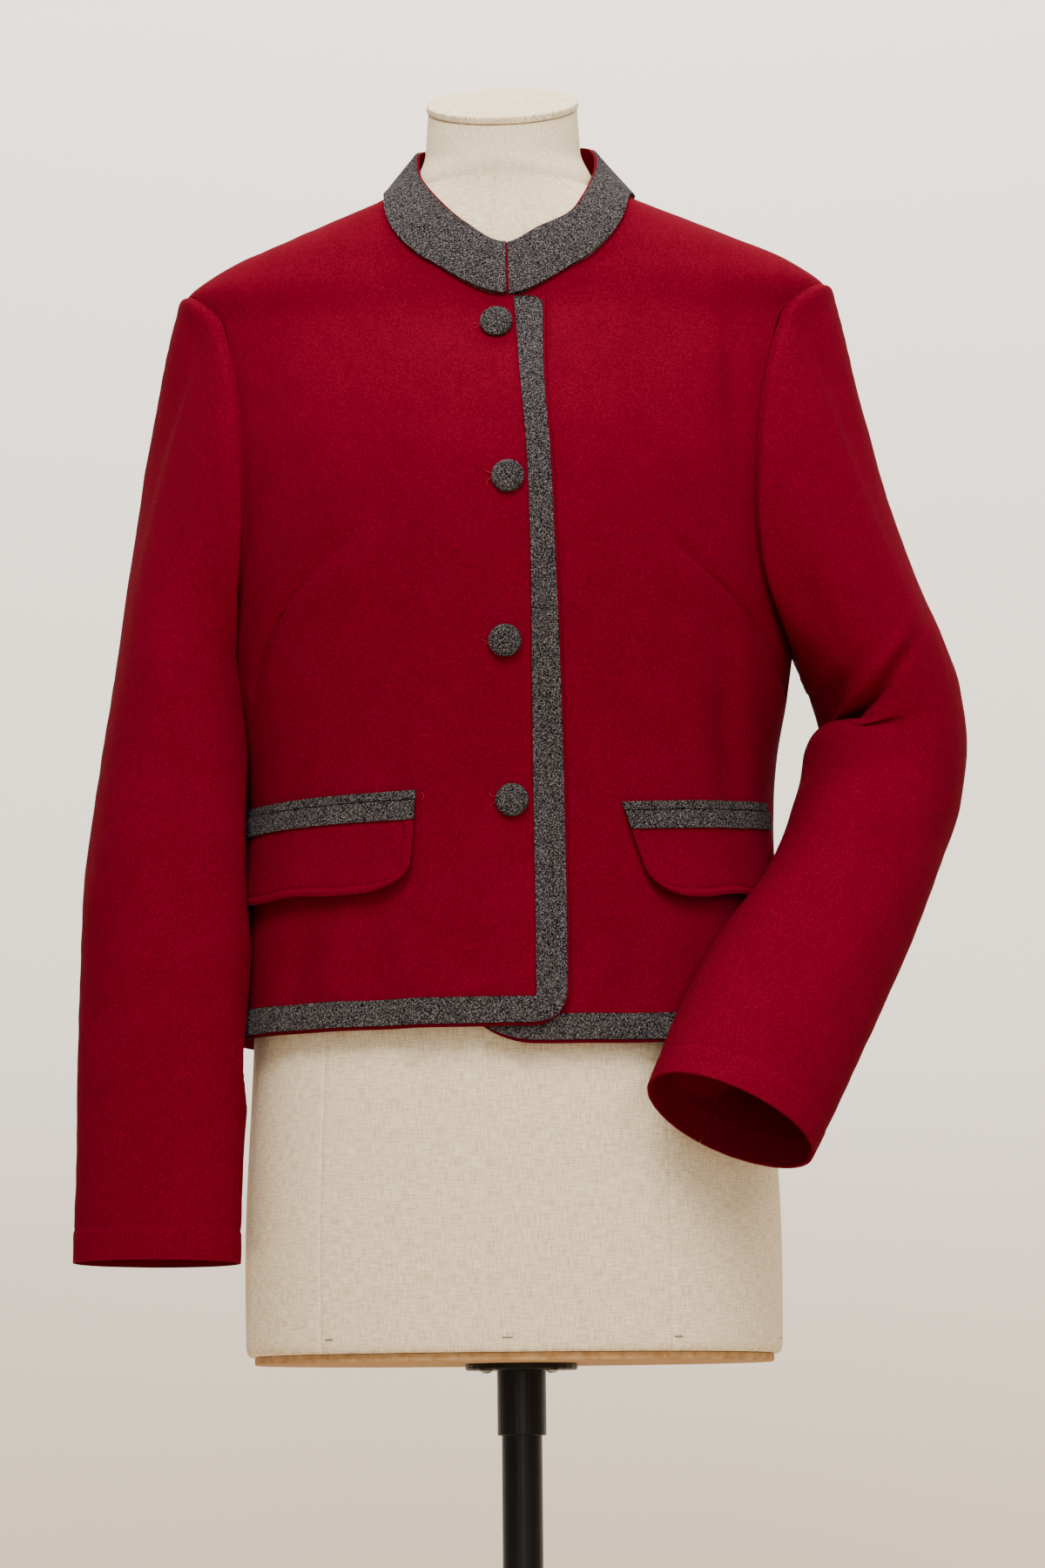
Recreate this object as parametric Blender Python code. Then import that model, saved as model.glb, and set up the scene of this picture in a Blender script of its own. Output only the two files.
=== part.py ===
# Short wool jacket with grey felt trim, worn by a limbless linen dress form on a pole stand.
# Metres, +Z up. The front faces -Y and the wearer's left is +X.
# The origin is on the floor, under the middle of the dress form.
# A side's own sense means that its x is positive towards that side, and angles likewise.

import math

import bmesh
import bpy
import numpy as np

MM = 0.001

# Cloth and gaps
WOOL = 2.0 * MM            # wall of the fulled wool
FELT = 1.6 * MM            # wall of the felt trim
GAP = 0.3 * MM             # between pieces that meet at a seam
LAID = 0.55 * MM           # under a piece that lies on a panel
HEM = 0.880                # lower edge of the jacket at the wearer's right front
UNDER_HEM = 0.8695         # lower edge of the under front, which hangs lower
SIDE_HEM = 0.876           # lower edge at the wearer's left side seam
UNDERARM = 1.141
SHOULDER_TIP = 1.371
NECK_FRONT = 1.350         # lowest point of the neckline

# Horizontal sections of the jacket's outside. Squareness swells each section between its axes.
SQUARENESS = 0.08
BODY_COLUMNS = ("height", "half_width", "front", "back")
BODY_SECTIONS = [
    (0.660, 0.1835, 0.126, 0.124),
    (0.760, 0.1840, 0.127, 0.126),
    (0.870, 0.1785, 0.122, 0.120),
    (0.940, 0.1745, 0.118, 0.110),
    (1.020, 0.1705, 0.116, 0.101),
    (1.060, 0.1730, 0.118, 0.100),
    (1.100, 0.1805, 0.122, 0.103),
    (1.141, 0.1855, 0.127, 0.107),
    (1.190, 0.1890, 0.130, 0.111),
    (1.250, 0.1935, 0.123, 0.113),
    (1.300, 0.1990, 0.105, 0.108),
    (1.345, 0.2060, 0.082, 0.097),
    (1.371, 0.2085, 0.074, 0.089),
    (1.382, 0.1940, 0.070, 0.085),
    (1.391, 0.1780, 0.067, 0.081),
    (1.404, 0.1470, 0.062, 0.076),
    (1.418, 0.1130, 0.057, 0.072),
    (1.431, 0.0813, 0.054, 0.066),
    (1.445, 0.0560, 0.052, 0.060),
]

# How far the dress form's skin lies inside the jacket's outside, and how much more at its arms
FORM_COLUMNS = ("height", "inset", "arm_stump")
FORM_INSETS = [
    (0.679, 0.0120, 0.000),
    (0.870, 0.0120, 0.000),
    (0.940, 0.0110, 0.000),
    (1.020, 0.0100, 0.000),
    (1.141, 0.0070, 0.002),
    (1.190, 0.0060, 0.006),
    (1.250, 0.0060, 0.014),
    (1.300, 0.0050, 0.020),
    (1.345, 0.0050, 0.020),
    (1.371, 0.0050, 0.016),
    (1.391, 0.0032, 0.006),
    (1.404, 0.0028, 0.000),
    (1.418, 0.0030, 0.000),
    (1.431, 0.0044, 0.000),
    (1.443, 0.0054, 0.000),
]
FORM_BOTTOM = 0.679
NECK_START = 1.441         # the form's skin leaves the jacket's shape for its own round neck
NECK_RADIUS = 0.0525
NECK_TOP_RADIUS = 0.0490
NECK_TOP = (-0.001, 0.002, 1.4935)
NECK_TILT = math.radians(25)
NECK_ROWS = 5
CAP_RADIUS = 0.0500
CAP_THICKNESS = 0.0050
FORM_SIDES = 32
FORM_ROWS = 13

# How far each front runs past the middle plane, and the inner side of the over front's trim
EDGE_COLUMNS = ("height", "right", "left", "trim")
FRONT_EDGES = [
    (0.860, 0.0440, 0.034, 0.0232),
    (0.944, 0.0440, 0.034, 0.0232),
    (1.032, 0.0430, 0.034, 0.0223),
    (1.122, 0.0415, 0.032, 0.0226),
    (1.185, 0.0396, 0.030, 0.0226),
    (1.241, 0.0371, 0.027, 0.0206),
    (1.302, 0.0322, 0.024, 0.0150),
    (1.351, 0.0310, 0.020, 0.0105),
]
COLLAR_MEETING = 0.006     # the collar's ends meet here, past the middle plane to the wearer's left
CORNER = {"right": 0.024, "left": 0.058}       # radius of each front's lower corner
FRONT_HEM = {"right": HEM, "left": UNDER_HEM}
SIGN = {"right": -1, "left": 1}
OVER_LIFT = 2.7 * MM       # the over front rides on the under front by this
TRIM_LIFT = 2.2 * MM       # and by this more where the under front's trim lies between them
LIFT_RAMP = (0.080, 0.038)
TRIM_LIFT_RAMP = (0.985, 0.945)

# Armhole, by the turn round it: 0 at the shoulder tip, 90 in front, 180 under the arm, 270 behind
ARMHOLE_COLUMNS = ("turn", "angle")
ARMHOLE = [
    (0, 90.0), (16, 71.0), (30, 62.0), (48, 58.0), (70, 56.0), (95, 55.5), (120, 57.0),
    (143, 63.0), (163, 75.0), (180, 90.0), (197, 105.0), (217, 116.0), (240, 122.0),
    (265, 124.0), (290, 122.0), (312, 117.0), (330, 111.0), (345, 102.0), (360, 90.0),
]
SEAM_TURN = 16             # the shoulder seam meets the armhole here, a little in front of the tip
SEAM_NECK_TURN = 72        # and the neckline here
FRONT_ARM_ROWS = 8
BACK_ARM_ROWS = 10
SHOULDER_ROWS = 5
SIDE_ROWS = 10
FRONT_COLUMNS = 14
BACK_COLUMNS = 18
BACK_YOKE = 1.392          # the row that starts at the shoulder tip crosses the middle of the back here
NECK_REACH = 0.060         # the rows fan out over this much of the front edge below the neck

# Neckline, an oval in plan that lies on the body. In front of the shoulders it is fuller than an ellipse.
NECK_CENTRE = 0.0035
NECK_HALF_WIDTH = 0.0795
NECK_DEPTH_FRONT = 0.0797
NECK_DEPTH_BACK = 0.0620
NECK_COLUMNS = ("turn", "fullness")
NECK_FULLNESS = [
    (0, 1.000), (14, 1.003), (28, 1.037), (38, 1.085), (47, 1.130), (55, 1.136), (64, 1.095),
    (77, 1.030), (90, 1.000), (180, 1.000),
]

# Collar's top edge, by the turn round the neck: 0 in front, positive towards the wearer's left
COLLAR_COLUMNS = ("turn", "x", "y", "height")
COLLAR_TOP = [
    (-180, 0.0015, 0.0580, 1.4790),
    (-150, -0.0345, 0.0465, 1.4765),
    (-120, -0.0515, 0.0240, 1.4710),
    (-100, -0.0555, 0.0080, 1.4660),
    (-84, -0.0560, -0.0060, 1.4590),
    (-72, -0.0545, -0.0180, 1.4480),
    (-57, -0.0502, -0.0335, 1.4370),
    (-38, -0.0372, -0.0533, 1.4195),
    (-20, -0.0205, -0.0618, 1.4030),
    (0, 0.0030, -0.0672, 1.3885),
    (20, 0.0262, -0.0625, 1.3997),
    (36, 0.0455, -0.0558, 1.4105),
    (50, 0.0545, -0.0440, 1.4255),
    (66, 0.0590, -0.0250, 1.4410),
    (85, 0.0600, -0.0040, 1.4555),
    (105, 0.0575, 0.0140, 1.4655),
    (120, 0.0535, 0.0270, 1.4710),
    (150, 0.0365, 0.0470, 1.4765),
    (180, 0.0015, 0.0580, 1.4790),
]
COLLAR_COLUMNS_ROUND = 60
COLLAR_ROWS = 3
FACING = 1.3 * MM          # wall of the collar's red inner side
FACING_PROUD = 1.2 * MM    # how far it shows above the felt

# Trim
TRIM_WIDTH = 0.0190        # round the under front's corner
HEM_TRIM = 0.0175          # along the hems
MARGIN = 2.0 * MM          # wool that shows beyond the trim
TRIM_TOP = 1.3497

# Sleeves, by sections down the middle of the tube, in their side's own sense
SLEEVE_COLUMNS = ("x", "y", "z", "outer", "inner", "depth")
HANGING_SLEEVE = [
    (0.2100, -0.010, 1.108, 0.0460, 0.0500, 0.070),
    (0.2160, -0.020, 1.050, 0.0480, 0.0560, 0.063),
    (0.2210, -0.032, 0.990, 0.0500, 0.0605, 0.057),
    (0.2235, -0.042, 0.930, 0.0495, 0.0620, 0.048),
    (0.2240, -0.048, 0.870, 0.0500, 0.0605, 0.042),
    (0.2225, -0.051, 0.800, 0.0525, 0.0540, 0.036),
    (0.2230, -0.054, 0.738, 0.0535, 0.0530, 0.032),
]
BENT_SLEEVE = [
    (0.2370, 0.000, 1.122, 0.0475, 0.0480, 0.060),
    (0.2500, 0.004, 1.094, 0.0440, 0.0560, 0.057),
    (0.2560, 0.003, 1.070, 0.0400, 0.0610, 0.054),
    (0.2480, -0.006, 1.043, 0.0460, 0.0620, 0.050),
    (0.2300, -0.028, 1.008, 0.0515, 0.0510, 0.048),
    (0.2100, -0.054, 0.966, 0.0560, 0.0460, 0.046),
    (0.1850, -0.086, 0.914, 0.0580, 0.0550, 0.044),
    (0.1600, -0.117, 0.863, 0.0600, 0.0550, 0.043),
    (0.1405, -0.141, 0.820, 0.0590, 0.0520, 0.042),
]
SLEEVE_LAP = 0.6 * MM      # the sleeve's end stands this far off the body, and more under the arm
CAP_HANDLE = 0.016         # how far the cap runs on along the shoulder before it drops
CAP_HANDLE_SHARE = 0.30
CAP_DROP = 0.45            # share of the drop that the lower handle takes
CAP_ROWS = 7
TUBE_ROWS = 13
UPPER_SLEEVE_COLUMNS = 17
UNDER_SLEEVE_COLUMNS = 9
UNDER_SLEEVE_ROWS = (7, 6)     # armhole rows, from the shoulder seam, where the sleeve's seams start
ELBOW_FOLD = {"turn": 150.0, "turn_width": 36.0, "run": 1.06, "run_width": 0.09, "depth": 0.020}

# How far a sleeve keeps from the jacket's outside. It is negative where only the form is there.
CLEARANCE_COLUMNS = ("height", "clearance")
CLEARANCES = [
    (0.700, -0.0080), (0.820, -0.0080), (0.862, 0.0055), (0.900, 0.0055), (0.940, 0.0060),
    (0.960, 0.0105), (1.032, 0.0105), (1.055, 0.0050), (1.200, 0.0040), (1.500, 0.0040),
]

# Pockets, in their side's own sense: the inner end by its x, the outer end by its angle
POCKET_COLUMNS = ("side", "top_inner", "top_inner_height", "top_outer", "top_outer_height",
                  "low_inner", "low_inner_height", "low_outer", "low_outer_height")
POCKETS = [
    ("right", 0.051, 1.0300, 75.0, 1.0270, 0.055, 0.9660, 77.0, 0.9640),
    ("left", 0.077, 1.0215, 73.0, 1.0275, 0.096, 0.9610, 77.0, 0.9680),
]
POCKET_COLUMNS_ACROSS = 10
FLAP_ROWS = 6
WELT_SHARE = 0.085         # height of the welt, as a share of the whole
STRIP_SHARE = 0.20         # height of the felt strip on the flap
WELT_WALL = 2.4 * MM
STRIP_WALL = 1.2 * MM
FLAP_WALL = 2.6 * MM
FLAP_CORNER = 0.30         # of its height
FLAP_FLARE = 4.5 * MM      # how far the flap's lower edge stands off the front

# Covered buttons on the over front
BUTTON_RADIUS = 0.0104
BUTTON_RISE = 5.2 * MM
BUTTON_COLUMNS = ("x", "height")
BUTTONS = [(0.0000, 1.3300), (0.0088, 1.2255), (0.0060, 1.1225), (0.0090, 1.0225)]
BUTTON_SIDES = 18
BUTTON_DROOP = 0.8         # a button hangs on its thread and turns to face forwards by this much

# Stand
POLE_X = 0.0045
POLE_RADIUS = 0.0130
SOCKET_RADIUS = 0.0157
SOCKET_BOTTOM = 0.628
FLANGE_RADIUS = 0.036
FLANGE_THICKNESS = 4.0 * MM
BOARD_THICKNESS = 5.0 * MM
BOARD_INSET = 3.0 * MM
BASE_RADIUS = 0.190
BASE_EDGE = 6.0 * MM
BASE_CROWN = 14.0 * MM
HUB_RADIUS = 0.024
HUB_TOP = 0.055
HUB_FLOOR = 0.012
TURNED_SIDES = 32

# Materials: colour, roughness, metallic
FINISHES = {
    "red_wool": ((0.262, 0.004, 0.016), 0.90, 0.0),
    "grey_felt": ((0.110, 0.112, 0.118), 0.95, 0.0),
    "linen": ((0.660, 0.585, 0.455), 0.90, 0.0),
    "board": ((0.480, 0.280, 0.110), 0.80, 0.0),
    "black_steel": ((0.010, 0.009, 0.008), 0.45, 0.6),
}


def clear_scene():
    for item in list(bpy.data.objects):
        bpy.data.objects.remove(item, do_unlink=True)


def make_material(name):
    colour, roughness, metallic = FINISHES[name]
    material = bpy.data.materials.new(name)
    material.use_nodes = True
    shader = material.node_tree.nodes["Principled BSDF"]
    shader.inputs["Base Color"].default_value = (*colour, 1.0)
    shader.inputs["Roughness"].default_value = roughness
    shader.inputs["Metallic"].default_value = metallic
    return material


def column(table, names, name):
    return np.array([row[names.index(name)] for row in table], dtype=float)


def smooth(x, xs, ys):
    """Cubic curve through the points of a table."""
    x = np.clip(np.asarray(x, dtype=float), xs[0], xs[-1])
    steps = np.diff(xs)
    rises = np.diff(ys) / steps
    slopes = np.empty_like(ys)
    slopes[1:-1] = (rises[:-1] * steps[1:] + rises[1:] * steps[:-1]) / (steps[1:] + steps[:-1])
    slopes[0] = rises[0]
    slopes[-1] = rises[-1]
    i = np.clip(np.searchsorted(xs, x, side="right") - 1, 0, len(steps) - 1)
    t = (x - xs[i]) / steps[i]
    start = ys[i] * (1 + 2 * t) * (1 - t) ** 2 + slopes[i] * steps[i] * t * (1 - t) ** 2
    end = ys[i + 1] * t * t * (3 - 2 * t) + slopes[i + 1] * steps[i] * t * t * (t - 1)
    return start + end


def ramp(x, start, end):
    t = np.clip((x - start) / (end - start), 0.0, 1.0)
    return t * t * (3 - 2 * t)


def section(name, height):
    return smooth(height, column(BODY_SECTIONS, BODY_COLUMNS, "height"),
                  column(BODY_SECTIONS, BODY_COLUMNS, name))


def body(angle, height):
    """The jacket's outside: angle in degrees, 0 in front, 90 at the wearer's left, 180 behind."""
    turn = np.radians(angle)
    across, along = np.sin(turn), np.cos(turn)
    depth = np.where(along >= 0, section("front", height), section("back", height))
    x = section("half_width", height) * across * (1 + SQUARENESS * along ** 2)
    y = -depth * along * (1 + SQUARENESS * across ** 2)
    return np.stack([x, y, np.broadcast_to(height, x.shape)], axis=-1)


def unit(vectors):
    return vectors / np.maximum(np.linalg.norm(vectors, axis=-1, keepdims=True), 1e-12)


def body_normal(angle, height):
    round_step = body(angle + 0.5, height) - body(angle - 0.5, height)
    up_step = body(angle, height + 0.0008) - body(angle, height - 0.0008)
    return unit(np.cross(round_step, up_step))


def on_body(angle, height, out):
    """Points that stand off the jacket's outside by out."""
    angle, height = np.broadcast_arrays(np.asarray(angle, float), np.asarray(height, float))
    out = np.broadcast_to(out, angle.shape)
    return body(angle, height) + body_normal(angle, height) * out[..., None]


def angle_at(x, height):
    """The angle in front at which the section at this height has this x."""
    share = np.asarray(x) / section("half_width", height)
    turn = np.arcsin(np.clip(share, -0.995, 0.995))
    for _ in range(8):
        across, along = np.sin(turn), np.cos(turn)
        error = across * (1 + SQUARENESS * along ** 2) - share
        slope = along * (1 + SQUARENESS * along ** 2) - 2 * SQUARENESS * across ** 2 * along
        turn = np.clip(turn - error / np.maximum(slope, 0.05), -math.pi / 2, math.pi / 2)
    return np.degrees(turn)


def share_out(x, y, height):
    """The angle of a point, and how far out it lies: 1 is on the body's outside."""
    depth = np.where(y <= 0, section("front", height), section("back", height))
    across, along = x / section("half_width", height), -y / depth
    turn = np.arctan2(across, along)
    reach = np.hypot(np.sin(turn) * (1 + SQUARENESS * np.cos(turn) ** 2),
                     np.cos(turn) * (1 + SQUARENESS * np.sin(turn) ** 2))
    return np.degrees(turn), np.hypot(across, along) / reach


def height_on_shoulder(x, y):
    """The height at which the body's upper surface passes over a point in plan."""
    low = np.full(np.shape(x), 1.330)
    high = np.full(np.shape(x), 1.445)
    for _ in range(30):
        middle = (low + high) / 2
        inside = share_out(x, y, middle)[1] < 1
        low = np.where(inside, middle, low)
        high = np.where(inside, high, middle)
    return (low + high) / 2


def neckline(turn):
    """Angle and height on the body of the neckline, an oval in plan."""
    around = np.radians(turn)
    depth = np.where(np.cos(around) >= 0, NECK_DEPTH_FRONT, NECK_DEPTH_BACK)
    fullness = smooth(180 - np.abs(np.mod(turn, 360) - 180),
                      column(NECK_FULLNESS, NECK_COLUMNS, "turn"),
                      column(NECK_FULLNESS, NECK_COLUMNS, "fullness"))
    x = NECK_CENTRE + NECK_HALF_WIDTH * fullness * np.sin(around)
    y = -depth * fullness * np.cos(around)
    height = height_on_shoulder(x, y)
    angle = share_out(x, y, height)[0]
    return angle + 360 * np.round((np.asarray(turn) - angle) / 360), height


def armhole(turn):
    """Angle and height on the body of the armhole, in the side's own sense."""
    turn = np.mod(turn, 360)
    angle = smooth(turn, column(ARMHOLE, ARMHOLE_COLUMNS, "turn"),
                   column(ARMHOLE, ARMHOLE_COLUMNS, "angle"))
    middle = (SHOULDER_TIP + UNDERARM) / 2
    return angle, middle + (SHOULDER_TIP - UNDERARM) / 2 * np.cos(np.radians(turn))


def arm_turns():
    """Turns round the armhole of the fronts' rows and of the back's, from the shoulder seam down."""
    front = np.linspace(SEAM_TURN, 180, FRONT_ARM_ROWS + 1)
    back = np.linspace(SEAM_TURN, -180, BACK_ARM_ROWS + 1)
    return front, back


def past_middle(side, height):
    return smooth(height, column(FRONT_EDGES, EDGE_COLUMNS, "height"),
                  column(FRONT_EDGES, EDGE_COLUMNS, side))


def hem_height(side, angle):
    """Lower edge of a panel, by the angle in the wearer's left sense."""
    if side == "right":
        return np.full(np.shape(angle), HEM)
    if side == "left":
        return UNDER_HEM + (SIDE_HEM - UNDER_HEM) * np.clip(angle / 90, 0, 1) ** 2
    return SIDE_HEM + (HEM - SIDE_HEM) * np.clip((angle - 90) / 180, 0, 1)


def round_corner(side, x, height):
    """Turn the square lower corner of a front into a quarter of a disc."""
    radius = CORNER[side]
    low = FRONT_HEM[side]
    middle_x = radius - past_middle(side, low)
    over = np.clip((middle_x - x) / radius, 0, 1)
    down = np.clip((low + radius - height) / radius, 0, 1)
    inside = (over > 0) & (down > 0)
    round_x = middle_x - radius * over * np.sqrt(1 - down ** 2 / 2)
    round_height = low + radius - radius * down * np.sqrt(1 - over ** 2 / 2)
    return np.where(inside, round_x, x), np.where(inside, round_height, height)


def front_lift(side, angle, height):
    """How far a front stands off the body. The over front rides on the under front."""
    if side == "left":
        return np.zeros(np.shape(angle))
    x = body(angle, height)[..., 0]
    lift = OVER_LIFT + TRIM_LIFT * ramp(height, *TRIM_LIFT_RAMP)
    return lift * ramp(-x, *LIFT_RAMP)


def edge_rows():
    """Heights of a front's rows down its edge, from the neck to the waist below the arm."""
    shoulder = np.linspace(0, 1, SHOULDER_ROWS + 1)[:-1]
    neck_low = NECK_FRONT - NECK_REACH
    down = np.linspace(0, 1, FRONT_ARM_ROWS + 1)
    return np.concatenate([NECK_FRONT - NECK_REACH * shoulder, neck_low + (UNDERARM - neck_low) * down])


def hem_angles(side):
    """Own-sense angles of a front's columns at its hem."""
    first = angle_at(-past_middle(side, FRONT_HEM[side]), FRONT_HEM[side])
    last = 90 - math.degrees(GAP / 2 / section("half_width", UNDERARM))
    return np.linspace(first, last, FRONT_COLUMNS + 1)


def front_chart(side):
    """Own-sense angle and height at each point of a front. Rows fan out from neck to hem."""
    sign = SIGN[side]
    shoulder = np.linspace(0, 1, SHOULDER_ROWS + 1)[:-1]
    turns = arm_turns()[0]
    sides = np.linspace(0, 1, SIDE_ROWS + 1)[1:]
    neck_end = neckline(sign * SEAM_NECK_TURN)
    seam_angle, seam_height = armhole(SEAM_TURN)
    arm_angle, arm_height = armhole(turns)
    outer_angle = np.concatenate([sign * neck_end[0] + (seam_angle - sign * neck_end[0]) * shoulder,
                                  arm_angle, np.full(SIDE_ROWS, 90.0)])
    outer_angle = outer_angle - np.degrees(GAP / 2 / section("half_width", UNDERARM))
    outer_height = np.concatenate([neck_end[1] + (seam_height - neck_end[1]) * shoulder,
                                   arm_height, np.full(SIDE_ROWS, UNDERARM)])
    edge_height = np.concatenate([edge_rows(), np.full(SIDE_ROWS, UNDERARM)])
    share = np.linspace(0, 1, FRONT_COLUMNS + 1)
    height = edge_height[:, None] + (outer_height - edge_height)[:, None] * share
    edge_angle = angle_at(-past_middle(side, edge_height), edge_height)
    angle = edge_angle[:, None] + (outer_angle - edge_angle)[:, None] * share
    below = np.concatenate([np.zeros(SHOULDER_ROWS + len(turns)), sides])[:, None]
    height = height + (hem_height(side, hem_angles(side)) - UNDERARM) * below
    # the first row follows the neckline, and the rows below it straighten out
    flat = 2
    meeting = COLLAR_MEETING * sign
    edge_top = -past_middle(side, NECK_FRONT)
    first_turn = sign * np.degrees(np.arcsin((COLLAR_MEETING - NECK_CENTRE) / NECK_HALF_WIDTH))
    turn = first_turn + (SEAM_NECK_TURN - first_turn) * (np.arange(FRONT_COLUMNS + 1 - flat)
                                                         / (FRONT_COLUMNS - flat))
    neck_angle, neck_height = neckline(sign * turn)
    neck_x = body(sign * neck_angle, neck_height)[:, 0]
    tab_x = edge_top + (meeting - edge_top) * np.arange(flat) / flat
    first_x = np.concatenate([tab_x, neck_x])
    first_height = np.concatenate([np.full(flat, NECK_FRONT + 0.5 * MM), neck_height])
    x = body(angle, height)[..., 0]
    rows = len(edge_height)
    fade = 1 - ramp(np.arange(rows) / (SHOULDER_ROWS + FRONT_ARM_ROWS * 0.6), 0, 1)[:, None]
    new_height = height + fade * (first_height - height[0])
    new_x = x + fade * (first_x - x[0])
    limit = 0.997 * section("half_width", new_height)
    new_angle = angle_at(np.minimum(new_x, limit), new_height)
    angle = np.where((fade > 0) & (share < 1), new_angle, angle)
    height = np.where(fade > 0, new_height, height)
    # keep to the front edge, then round the lower corner
    edge_x = -past_middle(side, height[:, :1])
    angle = np.concatenate([angle_at(edge_x, height[:, :1]), angle[:, 1:]], axis=1)
    x = body(angle, height)[..., 0]
    round_x, round_height = round_corner(side, x, height)
    near = (round_height != height) | (round_x != x)
    angle = np.where(near, angle_at(round_x, round_height), angle)
    return angle, round_height


def back_chart():
    """Angle and height at each point of the back, from the wearer's left side round to the right."""
    shoulder = np.linspace(0, 1, SHOULDER_ROWS + 1)[:-1]
    turns = arm_turns()[1]
    sides = np.linspace(0, 1, SIDE_ROWS + 1)[1:]
    neck_end = neckline(SEAM_NECK_TURN)
    seam_angle, seam_height = armhole(SEAM_TURN)
    arm_angle, arm_height = armhole(turns)
    outer_angle = np.concatenate([neck_end[0] + (seam_angle - neck_end[0]) * shoulder,
                                  arm_angle, np.full(SIDE_ROWS, 90.0)])
    outer_angle = outer_angle + np.degrees(GAP / 2 / section("half_width", UNDERARM))
    outer_height = np.concatenate([neck_end[1] + (seam_height - neck_end[1]) * shoulder,
                                   arm_height, np.full(SIDE_ROWS, UNDERARM)])
    share = np.linspace(0, 1, BACK_COLUMNS + 1)
    angle = outer_angle[:, None] + (360 - 2 * outer_angle)[:, None] * share
    neck_angle, neck_height = neckline(SEAM_NECK_TURN + (360 - 2 * SEAM_NECK_TURN) * share)
    middle = np.concatenate([np.linspace(neck_height.max(), BACK_YOKE, SHOULDER_ROWS + 1),
                             np.linspace(BACK_YOKE, UNDERARM, BACK_ARM_ROWS + 1)[1:],
                             np.full(SIDE_ROWS, UNDERARM)])
    towards_side = np.abs(2 * share - 1) ** 3
    height = middle[:, None] + (outer_height - middle)[:, None] * towards_side
    below = np.concatenate([np.zeros(SHOULDER_ROWS + len(turns)), sides])[:, None]
    height = height + (hem_height("back", angle) - UNDERARM) * below
    fade = 1 - ramp(np.arange(len(outer_height)) / (SHOULDER_ROWS + BACK_ARM_ROWS * 0.4), 0, 1)[:, None]
    height = height + fade * (neck_height - height[0])
    angle = angle + fade * (neck_angle - angle[0])
    return angle, height


def trim_chart(side, top, columns=2):
    """Own-sense angle and height of a front's trim: down its edge, round its corner, along its hem."""
    low = FRONT_HEM[side]
    corner_top = low + max(CORNER[side], TRIM_WIDTH + MARGIN) + 2 * MM
    rows = np.concatenate([edge_rows(), np.linspace(UNDERARM, low, SIDE_ROWS + 1)])
    rows = rows[(rows < top - 3 * MM) & (rows > corner_top + 4 * MM)]
    down = np.concatenate([[top], np.unique(rows)[::-1]])
    edge = -past_middle(side, low) + MARGIN
    inner = -smooth(down, column(FRONT_EDGES, EDGE_COLUMNS, "height"),
                    column(FRONT_EDGES, EDGE_COLUMNS, "trim"))
    width = inner[-1] - edge if side == "right" else TRIM_WIDTH
    inner = inner if side == "right" else -past_middle(side, down) + MARGIN + TRIM_WIDTH
    bend = np.linspace(0, 1, 6)
    along = corner_top - low
    outer_x = np.concatenate([-past_middle(side, down) + MARGIN, np.full(6, edge),
                              edge + (along - MARGIN) * bend[1:]])
    outer_height = np.concatenate([down, corner_top + (low + MARGIN - corner_top) * bend,
                                   np.full(5, low + MARGIN)])
    inner_x = np.concatenate([inner, np.full(6, edge + width),
                              edge + width + (along - MARGIN - width) * bend[1:]])
    inner_height = np.concatenate([down, corner_top + (low + MARGIN + HEM_TRIM - corner_top) * bend,
                                   np.full(5, low + MARGIN + HEM_TRIM)])
    angles, heights = [], []
    for share in np.linspace(0, 1, columns + 1):
        x = outer_x * (1 - share) + inner_x * share
        height = outer_height * (1 - share) + inner_height * share
        x, height = round_corner(side, x, height)
        angle = angle_at(x, height)
        feet = hem_angles(side)
        feet = np.concatenate([feet[feet > angle[-1] + 2][:-1], [89.8]])
        angles.append(np.concatenate([angle, feet]))
        heights.append(np.concatenate([height, hem_height(side, feet) + MARGIN + HEM_TRIM * share]))
    return np.stack(angles, axis=1), np.stack(heights, axis=1)


def pocket_chart(pocket, top_share, low_share, rows, rounded):
    """Own-sense angle and height of a stretch of a pocket, between two shares of its height."""
    value = dict(zip(POCKET_COLUMNS, pocket))
    top_inner = angle_at(value["top_inner"], value["top_inner_height"])
    low_inner = angle_at(value["low_inner"], value["low_inner_height"])
    across = np.linspace(0, 1, POCKET_COLUMNS_ACROSS + 1)[None, :]
    down = np.linspace(top_share, low_share, rows + 1)[:, None]
    if rounded:
        reach = FLAP_CORNER * 0.5
        for middle, direction in ((reach, -1), (1 - reach, 1)):
            over = np.clip((across - middle) * direction / reach, 0, 1)
            under = np.clip((down - (1 - FLAP_CORNER)) / FLAP_CORNER, 0, 1)
            inside = (over > 0) & (under > 0)
            new_across = middle + direction * reach * over * np.sqrt(1 - under ** 2 / 2)
            new_down = 1 - FLAP_CORNER + FLAP_CORNER * under * np.sqrt(1 - over ** 2 / 2)
            across = np.where(inside, new_across, across)
            down = np.where(inside, new_down, down)
    top_angle = top_inner + (value["top_outer"] - top_inner) * across
    low_angle = low_inner + (value["low_outer"] - low_inner) * across
    top_height = value["top_inner_height"] + (value["top_outer_height"]
                                              - value["top_inner_height"]) * across
    low_height = value["low_inner_height"] + (value["low_outer_height"]
                                              - value["low_inner_height"]) * across
    return top_angle + (low_angle - top_angle) * down, top_height + (low_height - top_height) * down, down


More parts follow.
